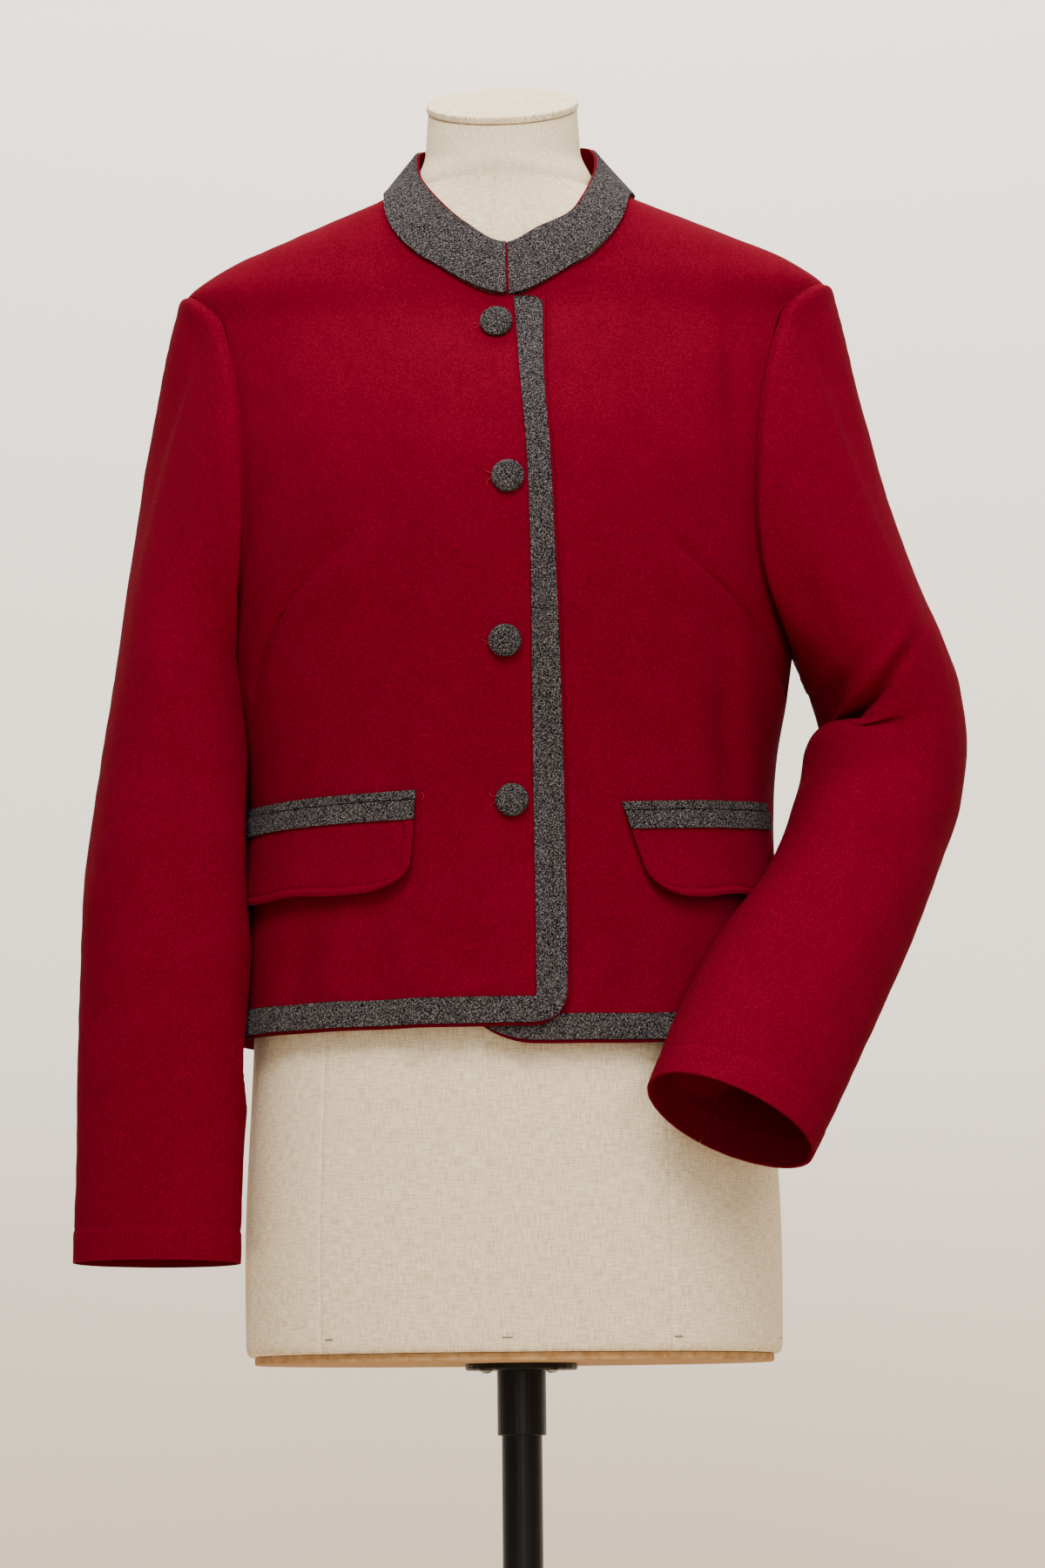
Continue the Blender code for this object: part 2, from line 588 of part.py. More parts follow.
def tube(sections, turn, along):
    """A sleeve's tube: along runs from 0 at its first section to 1 at the cuff."""
    spots = np.array([row[:3] for row in sections])
    steps = np.linalg.norm(np.diff(spots, axis=0), axis=1)
    stations = np.concatenate([[0], np.cumsum(steps)]) / steps.sum()

    def value(name, at):
        return smooth(at, stations, column(sections, SLEEVE_COLUMNS, name))

    def middle(at):
        return np.stack([value("x", at), value("y", at), value("z", at)], axis=-1)

    nudge = 0.02
    forward = unit(middle(np.clip(along + nudge, 0, 1)) - middle(np.clip(along - nudge, 0, 1)))
    width = unit(np.cross(forward, np.array([0.0, 1.0, 0.0])))
    depth = np.cross(width, forward)
    around = np.radians(turn)
    reach = np.where(np.cos(around) > 0, value("outer", along), value("inner", along))
    point = (middle(along) + width * (reach * np.cos(around))[..., None]
             - depth * (value("depth", along) * np.sin(around))[..., None])
    return point, forward, middle(along)


def keep_clear(point, share):
    """Move a sleeve's point outwards where it would lie in the jacket, the pocket or the form."""
    x, y, z = point[..., 0], point[..., 1], point[..., 2]
    clearance = smooth(z, column(CLEARANCES, CLEARANCE_COLUMNS, "height"),
                       column(CLEARANCES, CLEARANCE_COLUMNS, "clearance")) * share
    out = share_out(x, y, z)[1]
    least = 1 + clearance / np.maximum(np.hypot(x, y), 0.05) * 1.15
    factor = np.where((out < least) & (z < UNDERARM + 0.20), least / np.maximum(out, 0.2), 1.0)
    return np.stack([x * factor, y * factor, z], axis=-1)


def sleeve_frame(turn):
    """At the armhole: the body's normal, the way along the body from the armhole, and their shares."""
    angle, height = armhole(turn)
    normal = body_normal(angle, height)
    ring = unit(body(*armhole(turn + 1.0)) - body(*armhole(turn - 1.0)))
    around = np.radians(turn)
    facing = unit(np.stack([np.cos(around), np.sin(around) ** 2], axis=-1))
    return normal, np.cross(ring, normal), facing


def sleeve_facing(turn):
    """The way a sleeve's outside faces where it leaves the armhole."""
    normal, away, facing = sleeve_frame(turn)
    return facing[..., :1] * normal + facing[..., 1:] * away


def sleeve_outside(sections, fold, turn, run):
    """A sleeve's outside in its side's own sense: run is 0 at the armhole, 1 below it, 2 at the cuff."""
    turn, run = np.broadcast_arrays(np.asarray(turn, float), np.asarray(run, float))
    hole = body(*armhole(turn))
    normal, away, facing = sleeve_frame(turn)
    leave = facing[..., 1:] * normal - facing[..., :1] * away
    start = hole + normal * (SLEEVE_LAP * (2 - facing[..., :1]) + WOOL * (0.5 + 0.5 * facing[..., :1]))
    end, forward, _ = tube(sections, turn, np.zeros(turn.shape))
    drop = np.linalg.norm(end - start, axis=-1, keepdims=True)
    first = start + leave * np.minimum(CAP_HANDLE, CAP_HANDLE_SHARE * drop)
    second = end - forward * CAP_DROP * drop
    t = np.clip(run, 0, 1)[..., None]
    cap = (start * (1 - t) ** 3 + 3 * first * t * (1 - t) ** 2
           + 3 * second * t ** 2 * (1 - t) + end * t ** 3)
    lower = tube(sections, turn, np.clip(run - 1, 0, 1))[0]
    point = np.where((run <= 1)[..., None], cap, lower)
    if fold:
        bump = np.exp(-((np.mod(turn, 360) - fold["turn"]) / fold["turn_width"]) ** 2
                      - ((run - fold["run"]) / fold["run_width"]) ** 2)
        inward = unit(tube(sections, turn + 180.0, np.clip(run - 1, 0, 1))[0] - point)
        point = point + inward * (fold["depth"] * bump)[..., None]
    return keep_clear(point, ramp(run, 0.0, 0.25))


def sleeve_wall(sections, fold, turns, runs):
    """Outer and inner points of a stretch of sleeve."""
    turn, run = np.meshgrid(turns, runs)
    outside = sleeve_outside(sections, fold, turn, run)
    around = (sleeve_outside(sections, fold, turn + 1.5, run)
              - sleeve_outside(sections, fold, turn - 1.5, run))
    down = (sleeve_outside(sections, fold, turn, np.clip(run + 0.02, 0, 2))
            - sleeve_outside(sections, fold, turn, np.clip(run - 0.02, 0, 2)))
    normal = unit(np.cross(down, around))
    leaving = sleeve_facing(turn)
    centre = tube(sections, turn, np.clip(run - 1, 0, 1))[2]
    lower = ramp(run, 0.3, 1.0)[..., None]
    expected = leaving * (1 - lower) + unit(outside - centre) * lower
    normal = normal * np.sign(np.sum(normal * expected, axis=-1, keepdims=True))
    normal = unit(normal + 2 * leaving * (1 - ramp(run, 0.0, 0.15))[..., None])
    for _ in range(4):
        normal[1:-1] = unit(normal[:-2] + 2 * normal[1:-1] + normal[2:])
    return outside, outside - normal * WOOL


def mirror(points, side):
    return points * np.array([SIGN[side], 1.0, 1.0])


def add_piece(name, bm, material):
    bmesh.ops.recalc_face_normals(bm, faces=bm.faces)
    mesh = bpy.data.meshes.new(name)
    bm.to_mesh(mesh)
    bm.free()
    mesh.shade_smooth()
    mesh.set_sharp_from_angle(angle=math.radians(40))
    mesh.materials.append(material)
    piece = bpy.data.objects.new(name, mesh)
    bpy.context.collection.objects.link(piece)
    return piece


def wall(name, outside, inside, material):
    """A closed wall between two grids of points."""
    bm = bmesh.new()
    rows, columns = outside.shape[:2]
    outer = [[bm.verts.new(point) for point in row] for row in outside.tolist()]
    inner = [[bm.verts.new(point) for point in row] for row in inside.tolist()]
    for i in range(rows - 1):
        for j in range(columns - 1):
            bm.faces.new((outer[i][j], outer[i + 1][j], outer[i + 1][j + 1], outer[i][j + 1]))
            bm.faces.new((inner[i][j], inner[i][j + 1], inner[i + 1][j + 1], inner[i + 1][j]))
        for j, flip in ((0, False), (columns - 1, True)):
            side = (outer[i][j], inner[i][j], inner[i + 1][j], outer[i + 1][j])
            bm.faces.new(side[::-1] if flip else side)
    for j in range(columns - 1):
        for i, flip in ((0, True), (rows - 1, False)):
            end = (outer[i][j], inner[i][j], inner[i][j + 1], outer[i][j + 1])
            bm.faces.new(end[::-1] if flip else end)
    return add_piece(name, bm, material)


def rings(name, loops, material):
    """A closed solid through a stack of rings, with flat ends."""
    bm = bmesh.new()
    made = [[bm.verts.new(point) for point in loop] for loop in loops.tolist()]
    count = len(made[0])
    for low, high in zip(made, made[1:]):
        for i in range(count):
            k = (i + 1) % count
            bm.faces.new((low[i], low[k], high[k], high[i]))
    bm.faces.new(made[0][::-1])
    bm.faces.new(made[-1])
    return add_piece(name, bm, material)


def turned(name, profile, centre, material, sides=TURNED_SIDES, tilt=None):
    """A solid turned about a line: profile gives radius and height, from its axis back to its axis."""
    bm = bmesh.new()
    spots = [bm.verts.new((radius, 0, height)) for radius, height in profile]
    edges = [bm.edges.new(pair) for pair in zip(spots, spots[1:])]
    bmesh.ops.spin(bm, geom=spots + edges, cent=(0, 0, 0), axis=(0, 0, 1), steps=sides,
                   angle=2 * math.pi, use_merge=True)
    bmesh.ops.remove_doubles(bm, verts=bm.verts, dist=1e-6)
    piece = add_piece(name, bm, material)
    piece.location = centre
    if tilt is not None:
        piece.rotation_mode = "QUATERNION"
        piece.rotation_quaternion = tilt
    return piece


def on_panel(side, angle, height, out):
    """Points on a front, moved out, from own-sense angles."""
    turn = angle * SIGN[side]
    return on_body(turn, height, out + front_lift(side, turn, height))


def make_fronts(wool):
    for side in ("right", "left"):
        angle, height = front_chart(side)
        wall(f"{side}_front", on_panel(side, angle, height, 0.0),
             on_panel(side, angle, height, -WOOL), wool)


def make_back(wool):
    angle, height = back_chart()
    wall("back", on_body(angle, height, 0.0), on_body(angle, height, -WOOL), wool)


def make_sleeves(wool):
    front, back = arm_turns()
    seam_front = front[UNDER_SLEEVE_ROWS[0]]
    seam_back = back[UNDER_SLEEVE_ROWS[1]]
    runs = np.concatenate([np.linspace(0, 1, CAP_ROWS + 1), np.linspace(1, 2, TUBE_ROWS + 1)[1:]])
    half_gap = math.degrees(GAP / 2 / 0.045)
    upper = np.linspace(seam_back + half_gap, seam_front - half_gap, UPPER_SLEEVE_COLUMNS + 1)
    under = np.linspace(seam_front + half_gap, seam_back + 360 - half_gap, UNDER_SLEEVE_COLUMNS + 1)
    for side, sections, fold in (("right", HANGING_SLEEVE, None), ("left", BENT_SLEEVE, ELBOW_FOLD)):
        for part, turns in (("upper", upper), ("under", under)):
            outside, inside = sleeve_wall(sections, fold, turns, runs)
            wall(f"{side}_{part}_sleeve", mirror(outside, side), mirror(inside, side), wool)


def collar_point(turn, share, out):
    """Points of the collar: share is 0 at the neckline and 1 at its top edge."""
    angle, height = neckline(turn)
    lift = np.where(turn > 270, front_lift("right", angle, height), 0.0)
    low = on_body(angle, height, lift + LAID)
    signed = np.mod(turn + 180, 360) - 180
    turns = column(COLLAR_TOP, COLLAR_COLUMNS, "turn")
    high = np.stack([smooth(signed, turns, column(COLLAR_TOP, COLLAR_COLUMNS, name))
                     for name in ("x", "y", "height")], axis=-1)
    high[..., :2] *= (1 + lift / 0.08)[..., None]
    point = low + (high - low) * share[..., None]
    return point + collar_out(point, low, high) * out


def collar_out(point, low, high):
    """The direction across the collar's wall, away from the neck."""
    rise = unit(high - low)
    level = unit(point * np.array([1.0, 1.0, 0.0]))
    return unit(level - rise * np.sum(level * rise, axis=-1, keepdims=True))


def make_collar(felt, wool):
    first = math.degrees(math.asin((COLLAR_MEETING - NECK_CENTRE) / NECK_HALF_WIDTH))
    gap = math.degrees(GAP / NECK_HALF_WIDTH)
    turns = np.linspace(first + gap, first + 360 - gap, COLLAR_COLUMNS_ROUND + 1)
    turn, share = np.meshgrid(turns, np.linspace(0, 1, COLLAR_ROWS + 1))
    proud = share * (1 + FACING_PROUD / 0.038)
    wall("collar_facing", collar_point(turn, proud, FACING), collar_point(turn, proud, 0.0), wool)
    felt_in = FACING + GAP
    wall("collar", collar_point(turn, share, felt_in + FELT), collar_point(turn, share, felt_in), felt)


def make_trims(felt):
    for side, top in (("right", TRIM_TOP), ("left", UNDER_HEM + CORNER["left"] + 8 * MM)):
        angle, height = trim_chart(side, top)
        wall(f"{side}_trim", on_panel(side, angle, height, LAID + FELT),
             on_panel(side, angle, height, LAID), felt)
    angle = back_chart()[0][-1].copy()
    angle[0] += 0.1
    angle[-1] -= 0.1
    angle = np.repeat(angle[:, None], 3, axis=1)
    height = hem_height("back", angle) + MARGIN + HEM_TRIM * np.array([0, 0.5, 1])
    wall("back_trim", on_body(angle, height, LAID + FELT), on_body(angle, height, LAID), felt)


def make_pockets(felt, wool):
    for pocket in POCKETS:
        side = pocket[0]
        angle, height, _ = pocket_chart(pocket, 0.0, WELT_SHARE, 1, False)
        wall(f"{side}_welt", on_panel(side, angle, height, LAID + WELT_WALL),
             on_panel(side, angle, height, LAID), felt)
        angle, height, down = pocket_chart(pocket, WELT_SHARE + 0.006, 1.0, FLAP_ROWS, True)
        flare = LAID + FLAP_FLARE * down ** 2
        wall(f"{side}_flap", on_panel(side, angle, height, flare + FLAP_WALL),
             on_panel(side, angle, height, flare), wool)
        angle, height, down = pocket_chart(pocket, WELT_SHARE + 0.006, WELT_SHARE + STRIP_SHARE, 2, False)
        under = LAID + FLAP_FLARE * down ** 2 + FLAP_WALL + GAP
        wall(f"{side}_flap_strip", on_panel(side, angle, height, under + STRIP_WALL),
             on_panel(side, angle, height, under), felt)


def make_buttons(felt):
    radius, rise = BUTTON_RADIUS, BUTTON_RISE
    profile = [(0, 0), (radius * 0.82, 0), (radius, rise * 0.32), (radius * 0.93, rise * 0.66),
               (radius * 0.66, rise * 0.91), (0, rise)]
    for number, (x, height) in enumerate(BUTTONS, start=1):
        turn = angle_at(x, height)
        skin = body_normal(turn, height)
        normal = unit(skin + BUTTON_DROOP * np.array([0.0, -1.0, 0.0]))
        leaning = math.sqrt(1 - min(1.0, float(np.dot(skin, normal))) ** 2)
        lift = float(front_lift("right", turn, height)) + 0.45 * MM + radius * 0.85 * leaning
        spot = on_body(turn, height, lift)
        up = np.array([0.0, 0.0, 1.0])
        axis = unit(np.cross(up, normal))
        half = math.acos(float(normal[2])) / 2
        tilt = (math.cos(half), *(axis * math.sin(half)))
        turned(f"button_{number}", profile, tuple(spot), felt, BUTTON_SIDES, tilt)


def form_rings():
    """Rings of the dress form: hips, body and shoulders, then a round neck with a tilted top."""
    turns = np.linspace(0, 360, FORM_SIDES + 1)[:-1]
    heights = np.concatenate([np.linspace(FORM_BOTTOM + 0.006, 1.300, FORM_ROWS - 8),
                              np.linspace(1.300, 1.371, 6)[1:], [1.3815, 1.391, 1.4045, 1.418, 1.431,
                                                               NECK_START]])
    levels = column(FORM_INSETS, FORM_COLUMNS, "height")
    loops = []
    for height in heights:
        inset = smooth(height, levels, column(FORM_INSETS, FORM_COLUMNS, "inset"))
        stump = smooth(height, levels, column(FORM_INSETS, FORM_COLUMNS, "arm_stump"))
        at_side = np.abs(np.sin(np.radians(turns))) ** 10
        loops.append(on_body(turns, height, -(inset + stump * at_side)))
    foot = loops[0].copy()
    foot[:, :2] *= 0.985
    foot[:, 2] = FORM_BOTTOM
    around = np.radians(turns)
    top = loops[-1]
    for row in range(1, NECK_ROWS + 1):
        share = row / NECK_ROWS
        radius = NECK_RADIUS + (NECK_TOP_RADIUS - NECK_RADIUS) * share
        x = NECK_TOP[0] + radius * np.sin(around)
        y = NECK_TOP[1] - radius * np.cos(around) * (1 - 0.09 * share)
        z = top[:, 2] + (NECK_TOP[2] + math.tan(NECK_TILT) * (y - NECK_TOP[1]) - top[:, 2]) * share
        blend = min(1.0, share * 2.5)
        loop = np.stack([top[:, 0] + (x - top[:, 0]) * blend, top[:, 1] + (y - top[:, 1]) * blend, z],
                        axis=-1)
        loops.append(loop)
    return np.array([foot] + loops)


def make_form(linen, board):
    loops = form_rings()
    rings("form_body", loops, linen)
    edge = CAP_THICKNESS * 0.3
    tilt = (math.cos(-NECK_TILT / 2), math.sin(NECK_TILT / 2), 0.0, 0.0)
    spot = np.array(NECK_TOP) + 0.5 * MM * np.array([0, -math.sin(NECK_TILT), math.cos(NECK_TILT)])
    turned("neck_cap", [(0, 0), (CAP_RADIUS - edge, 0), (CAP_RADIUS, edge),
                        (CAP_RADIUS, CAP_THICKNESS - edge), (CAP_RADIUS - edge, CAP_THICKNESS),
                        (0, CAP_THICKNESS + 0.4 * MM)], tuple(spot), linen, 28, tilt)
    plate = loops[0] * np.array([1 - BOARD_INSET / 0.17, 1 - BOARD_INSET / 0.11, 1.0])
    high = plate - np.array([0, 0, GAP])
    low = high - np.array([0, 0, BOARD_THICKNESS])
    rings("bottom_board", np.array([low, high]), board)


def make_stand(steel):
    flange_top = FORM_BOTTOM - BOARD_THICKNESS - 2 * GAP
    flange_low = flange_top - FLANGE_THICKNESS
    centre = (POLE_X, 0.0, 0.0)
    turned("flange", [(0, flange_low), (FLANGE_RADIUS - MM, flange_low),
                      (FLANGE_RADIUS, flange_low + MM), (FLANGE_RADIUS, flange_top - 0.5 * MM),
                      (FLANGE_RADIUS - 0.5 * MM, flange_top), (0, flange_top)], centre, steel)
    bore = POLE_RADIUS + GAP
    socket_top = flange_low - GAP
    turned("socket", [(bore, SOCKET_BOTTOM), (SOCKET_RADIUS - 0.5 * MM, SOCKET_BOTTOM),
                      (SOCKET_RADIUS, SOCKET_BOTTOM + 0.5 * MM), (SOCKET_RADIUS, socket_top),
                      (bore, socket_top), (bore, SOCKET_BOTTOM)], centre, steel)
    pole_low = HUB_FLOOR + GAP
    turned("pole", [(0, pole_low), (POLE_RADIUS, pole_low), (POLE_RADIUS, socket_top), (0, socket_top)],
           centre, steel)
    turned("base", [(0, 0), (BASE_RADIUS - 2 * MM, 0), (BASE_RADIUS, 2 * MM), (BASE_RADIUS, BASE_EDGE),
                    (BASE_RADIUS - 4 * MM, BASE_EDGE + 3 * MM), (HUB_RADIUS + 8 * MM, BASE_CROWN),
                    (HUB_RADIUS, BASE_CROWN + 8 * MM), (HUB_RADIUS, HUB_TOP - 2 * MM),
                    (HUB_RADIUS - 2 * MM, HUB_TOP), (bore, HUB_TOP), (bore, HUB_FLOOR), (0, HUB_FLOOR)],
           centre, steel)


def main():
    clear_scene()
    made = {name: make_material(name) for name in FINISHES}
    wool, felt = made["red_wool"], made["grey_felt"]
    make_fronts(wool)
    make_back(wool)
    make_sleeves(wool)
    make_collar(felt, wool)
    make_trims(felt)
    make_pockets(felt, wool)
    make_buttons(felt)
    make_form(made["linen"], made["board"])
    make_stand(made["black_steel"])


main()
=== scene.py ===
import math

import bpy
import numpy as np
from mathutils import Matrix, Vector


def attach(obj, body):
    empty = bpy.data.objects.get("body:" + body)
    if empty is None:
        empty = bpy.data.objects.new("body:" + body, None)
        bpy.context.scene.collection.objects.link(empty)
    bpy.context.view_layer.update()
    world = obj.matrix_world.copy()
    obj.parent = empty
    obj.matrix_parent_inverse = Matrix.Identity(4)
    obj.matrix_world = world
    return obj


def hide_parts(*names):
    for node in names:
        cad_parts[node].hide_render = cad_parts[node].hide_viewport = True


# Red wool jacket with grey felt trim on a linen dress form. Metres, +Z up, front towards -Y,
# wearer's left on +X. A side's own sense has x and angles positive towards that side.

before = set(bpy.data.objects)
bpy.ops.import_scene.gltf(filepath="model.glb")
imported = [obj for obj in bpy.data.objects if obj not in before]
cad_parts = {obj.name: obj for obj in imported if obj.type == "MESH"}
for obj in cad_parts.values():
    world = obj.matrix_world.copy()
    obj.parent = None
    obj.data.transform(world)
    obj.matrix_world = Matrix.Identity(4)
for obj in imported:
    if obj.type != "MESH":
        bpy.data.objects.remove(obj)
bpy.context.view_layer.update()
mm = 0.001
sign = {"right": -1, "left": 1}
print("frame loaded")


# small helpers on arrays

def smooth(x, xs, ys):
    # cubic curve through the points of a table, slopes weighted by the steps beside each point
    xs, ys = np.asarray(xs, float), np.asarray(ys, float)
    x = np.clip(np.asarray(x, float), xs[0], xs[-1])
    wide = (slice(None),) + (None,) * (ys.ndim - 1)
    steps = np.diff(xs)
    rises = np.diff(ys, axis=0) / steps[wide]
    slopes = np.empty_like(ys)
    weights = (steps[1:] + steps[:-1])[wide]
    slopes[1:-1] = (rises[:-1] * steps[1:][wide] + rises[1:] * steps[:-1][wide]) / weights
    slopes[0], slopes[-1] = rises[0], rises[-1]
    i = np.clip(np.searchsorted(xs, x, side="right") - 1, 0, len(steps) - 1)
    far = (Ellipsis,) + (None,) * (ys.ndim - 1)
    t = ((x - xs[i]) / steps[i])[far]
    step = steps[i][far]
    start = ys[i] * (1 + 2 * t) * (1 - t) ** 2 + slopes[i] * step * t * (1 - t) ** 2
    end = ys[i + 1] * t * t * (3 - 2 * t) + slopes[i + 1] * step * t * t * (t - 1)
    return start + end


def ramp(x, start, end):
    t = np.clip((x - start) / (end - start), 0.0, 1.0)
    return t * t * (3 - 2 * t)


def unit(vectors):
    return vectors / np.maximum(np.linalg.norm(vectors, axis=-1, keepdims=True), 1e-12)


def refine(grid, rows, columns):
    # the same surface on a finer grid: cubic curves down the columns, then along the rows
    tall = smooth(rows * (grid.shape[0] - 1), np.arange(grid.shape[0]), grid)
    across = smooth(columns * (grid.shape[1] - 1), np.arange(grid.shape[1]), np.swapaxes(tall, 0, 1))
    return np.swapaxes(across, 0, 1)


def spread(count, rim=0.004):
    # shares from 0 to 1, with a narrow first and last step so that edges stay crisp
    return np.concatenate([[0, rim * 0.3], np.linspace(rim, 1 - rim, count), [1 - rim * 0.3, 1]])


def wander(x, y, size, seed):
    # calm unevenness: a few crossed sine waves of about this size, between -1 and 1
    random = np.random.default_rng(seed)
    total = np.zeros(np.broadcast(x, y).shape)
    for _ in range(6):
        turn, phase = random.uniform(0, math.pi), random.uniform(0, 6.28)
        length = size * random.uniform(0.7, 1.5)
        total = total + np.sin((x * math.cos(turn) + y * math.sin(turn)) * 6.28 / length + phase)
    return total / 6


def lineReach(x, y, points):
    # distance to a drawn line, and how far along it (0 to 1) the nearest point is
    best = np.full(np.broadcast(x, y).shape, 9.0)
    along = np.zeros(best.shape)
    for k in range(len(points) - 1):
        (ax, ay), (bx, by) = points[k], points[k + 1]
        length = (bx - ax) ** 2 + (by - ay) ** 2
        t = np.clip(((x - ax) * (bx - ax) + (y - ay) * (by - ay)) / length, 0, 1)
        away = np.hypot(x - ax - t * (bx - ax), y - ay - t * (by - ay))
        along = np.where(away < best, (k + t) / (len(points) - 1), along)
        best = np.minimum(best, away)
    return best, along


# body of the jacket, as the CAD part has it

bodyTable = {
    "squareness": 0.08,
    "height": [0.660, 0.760, 0.870, 0.940, 1.020, 1.060, 1.100, 1.141, 1.190, 1.250, 1.300, 1.345,
               1.371, 1.382, 1.391, 1.404, 1.418, 1.431, 1.445],
    "halfWidth": [0.1835, 0.1840, 0.1785, 0.1745, 0.1705, 0.1730, 0.1805, 0.1855, 0.1890, 0.1935,
                  0.1990, 0.2060, 0.2085, 0.1940, 0.1780, 0.1470, 0.1130, 0.0813, 0.0560],
    "front": [0.126, 0.127, 0.122, 0.118, 0.116, 0.118, 0.122, 0.127, 0.130, 0.123, 0.105, 0.082,
              0.074, 0.070, 0.067, 0.062, 0.057, 0.054, 0.052],
    "back": [0.124, 0.126, 0.120, 0.110, 0.101, 0.100, 0.103, 0.107, 0.111, 0.113, 0.108, 0.097,
             0.089, 0.085, 0.081, 0.076, 0.072, 0.066, 0.060],
}
cloth = {
    "wool": 2.0 * mm, "felt": 1.6 * mm, "gap": 0.3 * mm, "laid": 0.55 * mm,
    "hem": 0.880, "underHem": 0.8695, "sideHem": 0.876, "underarm": 1.141, "shoulderTip": 1.371,
    "neckFront": 1.350, "overLift": 2.7 * mm, "trimLift": 2.2 * mm,
    "edgeHeight": [0.860, 0.944, 1.032, 1.122, 1.185, 1.241, 1.302, 1.351],
    "right": [0.0440, 0.0440, 0.0430, 0.0415, 0.0396, 0.0371, 0.0322, 0.0310],
    "left": [0.034, 0.034, 0.034, 0.032, 0.030, 0.027, 0.024, 0.020],
    "trim": [0.0232, 0.0232, 0.0223, 0.0226, 0.0226, 0.0206, 0.0150, 0.0105],
    "corner": {"right": 0.024, "left": 0.058}, "frontHem": {"right": 0.880, "left": 0.8695},
    "armTurn": [0, 16, 30, 48, 70, 95, 120, 143, 163, 180, 197, 217, 240, 265, 290, 312, 330, 345, 360],
    "armAngle": [90.0, 71.0, 62.0, 58.0, 56.0, 55.5, 57.0, 63.0, 75.0, 90.0, 105.0, 116.0, 122.0,
                 124.0, 122.0, 117.0, 111.0, 102.0, 90.0],
    "seamTurn": 16, "seamNeckTurn": 72, "frontArmRows": 8, "backArmRows": 10, "shoulderRows": 5,
    "sideRows": 10, "frontColumns": 14, "backColumns": 18, "backYoke": 1.392, "neckReach": 0.060,
}
collar = {
    "meeting": 0.006, "centre": 0.0035, "halfWidth": 0.0795, "depthFront": 0.0797, "depthBack": 0.0620,
    "neckTurn": [0, 14, 28, 38, 47, 55, 64, 77, 90, 180],
    "fullness": [1.000, 1.003, 1.037, 1.085, 1.130, 1.136, 1.095, 1.030, 1.000, 1.000],
    "facing": 1.3 * mm, "proud": 1.2 * mm,
    "turn": [-180, -150, -120, -100, -84, -72, -57, -38, -20, 0, 20, 36, 50, 66, 85, 105, 120, 150, 180],
    "top": np.array([
        (0.0015, 0.0580, 1.4790), (-0.0345, 0.0465, 1.4765), (-0.0515, 0.0240, 1.4710),
        (-0.0555, 0.0080, 1.4660), (-0.0560, -0.0060, 1.4590), (-0.0545, -0.0180, 1.4480),
        (-0.0502, -0.0335, 1.4370), (-0.0372, -0.0533, 1.4195), (-0.0205, -0.0618, 1.4030),
        (0.0030, -0.0672, 1.3885), (0.0262, -0.0625, 1.3997), (0.0455, -0.0558, 1.4105),
        (0.0545, -0.0440, 1.4255), (0.0590, -0.0250, 1.4410), (0.0600, -0.0040, 1.4555),
        (0.0575, 0.0140, 1.4655), (0.0535, 0.0270, 1.4710), (0.0365, 0.0470, 1.4765),
        (0.0015, 0.0580, 1.4790)]),
}


def section(name, height):
    return smooth(height, bodyTable["height"], bodyTable[name])


def body(angle, height):
    # ellipse-like section at this height, a little squared between its axes
    turn = np.radians(angle)
    across, along = np.sin(turn), np.cos(turn)
    depth = np.where(along >= 0, section("front", height), section("back", height))
    x = section("halfWidth", height) * across * (1 + bodyTable["squareness"] * along ** 2)
    y = -depth * along * (1 + bodyTable["squareness"] * across ** 2)
    return np.stack([x, y, np.broadcast_to(height, x.shape)], axis=-1)


def bodyNormal(angle, height):
    return unit(np.cross(body(angle + 0.5, height) - body(angle - 0.5, height),
                         body(angle, height + 0.0008) - body(angle, height - 0.0008)))


def onBody(angle, height, out):
    angle, height = np.broadcast_arrays(np.asarray(angle, float), np.asarray(height, float))
    return body(angle, height) + bodyNormal(angle, height) * np.broadcast_to(out, angle.shape)[..., None]


def angleAt(x, height):
    # Newton steps back from x to the angle in front
    share = np.asarray(x) / section("halfWidth", height)
    square = bodyTable["squareness"]
    turn = np.arcsin(np.clip(share, -0.995, 0.995))
    for _ in range(8):
        across, along = np.sin(turn), np.cos(turn)
        error = across * (1 + square * along ** 2) - share
        slope = along * (1 + square * along ** 2) - 2 * square * across ** 2 * along
        turn = np.clip(turn - error / np.maximum(slope, 0.05), -math.pi / 2, math.pi / 2)
    return np.degrees(turn)


def shareOut(x, y, height):
    # angle of a point, and how far out it lies: 1 is on the body's outside
    depth = np.where(y <= 0, section("front", height), section("back", height))
    across, along = x / section("halfWidth", height), -y / depth
    turn = np.arctan2(across, along)
    square = bodyTable["squareness"]
    reach = np.hypot(np.sin(turn) * (1 + square * np.cos(turn) ** 2),
                     np.cos(turn) * (1 + square * np.sin(turn) ** 2))
    return np.degrees(turn), np.hypot(across, along) / reach


def neckline(turn):
    # an oval in plan; its height is found by halving between 1.330 and 1.445
    around = np.radians(turn)
    depth = np.where(np.cos(around) >= 0, collar["depthFront"], collar["depthBack"])
    fullness = smooth(180 - np.abs(np.mod(turn, 360) - 180), collar["neckTurn"], collar["fullness"])
    x = collar["centre"] + collar["halfWidth"] * fullness * np.sin(around)
    y = -depth * fullness * np.cos(around)
    low, high = np.full(np.shape(x), 1.330), np.full(np.shape(x), 1.445)
    for _ in range(30):
        middle = (low + high) / 2
        inside = shareOut(x, y, middle)[1] < 1
        low, high = np.where(inside, middle, low), np.where(inside, high, middle)
    height = (low + high) / 2
    angle = shareOut(x, y, height)[0]
    return angle + 360 * np.round((np.asarray(turn) - angle) / 360), height


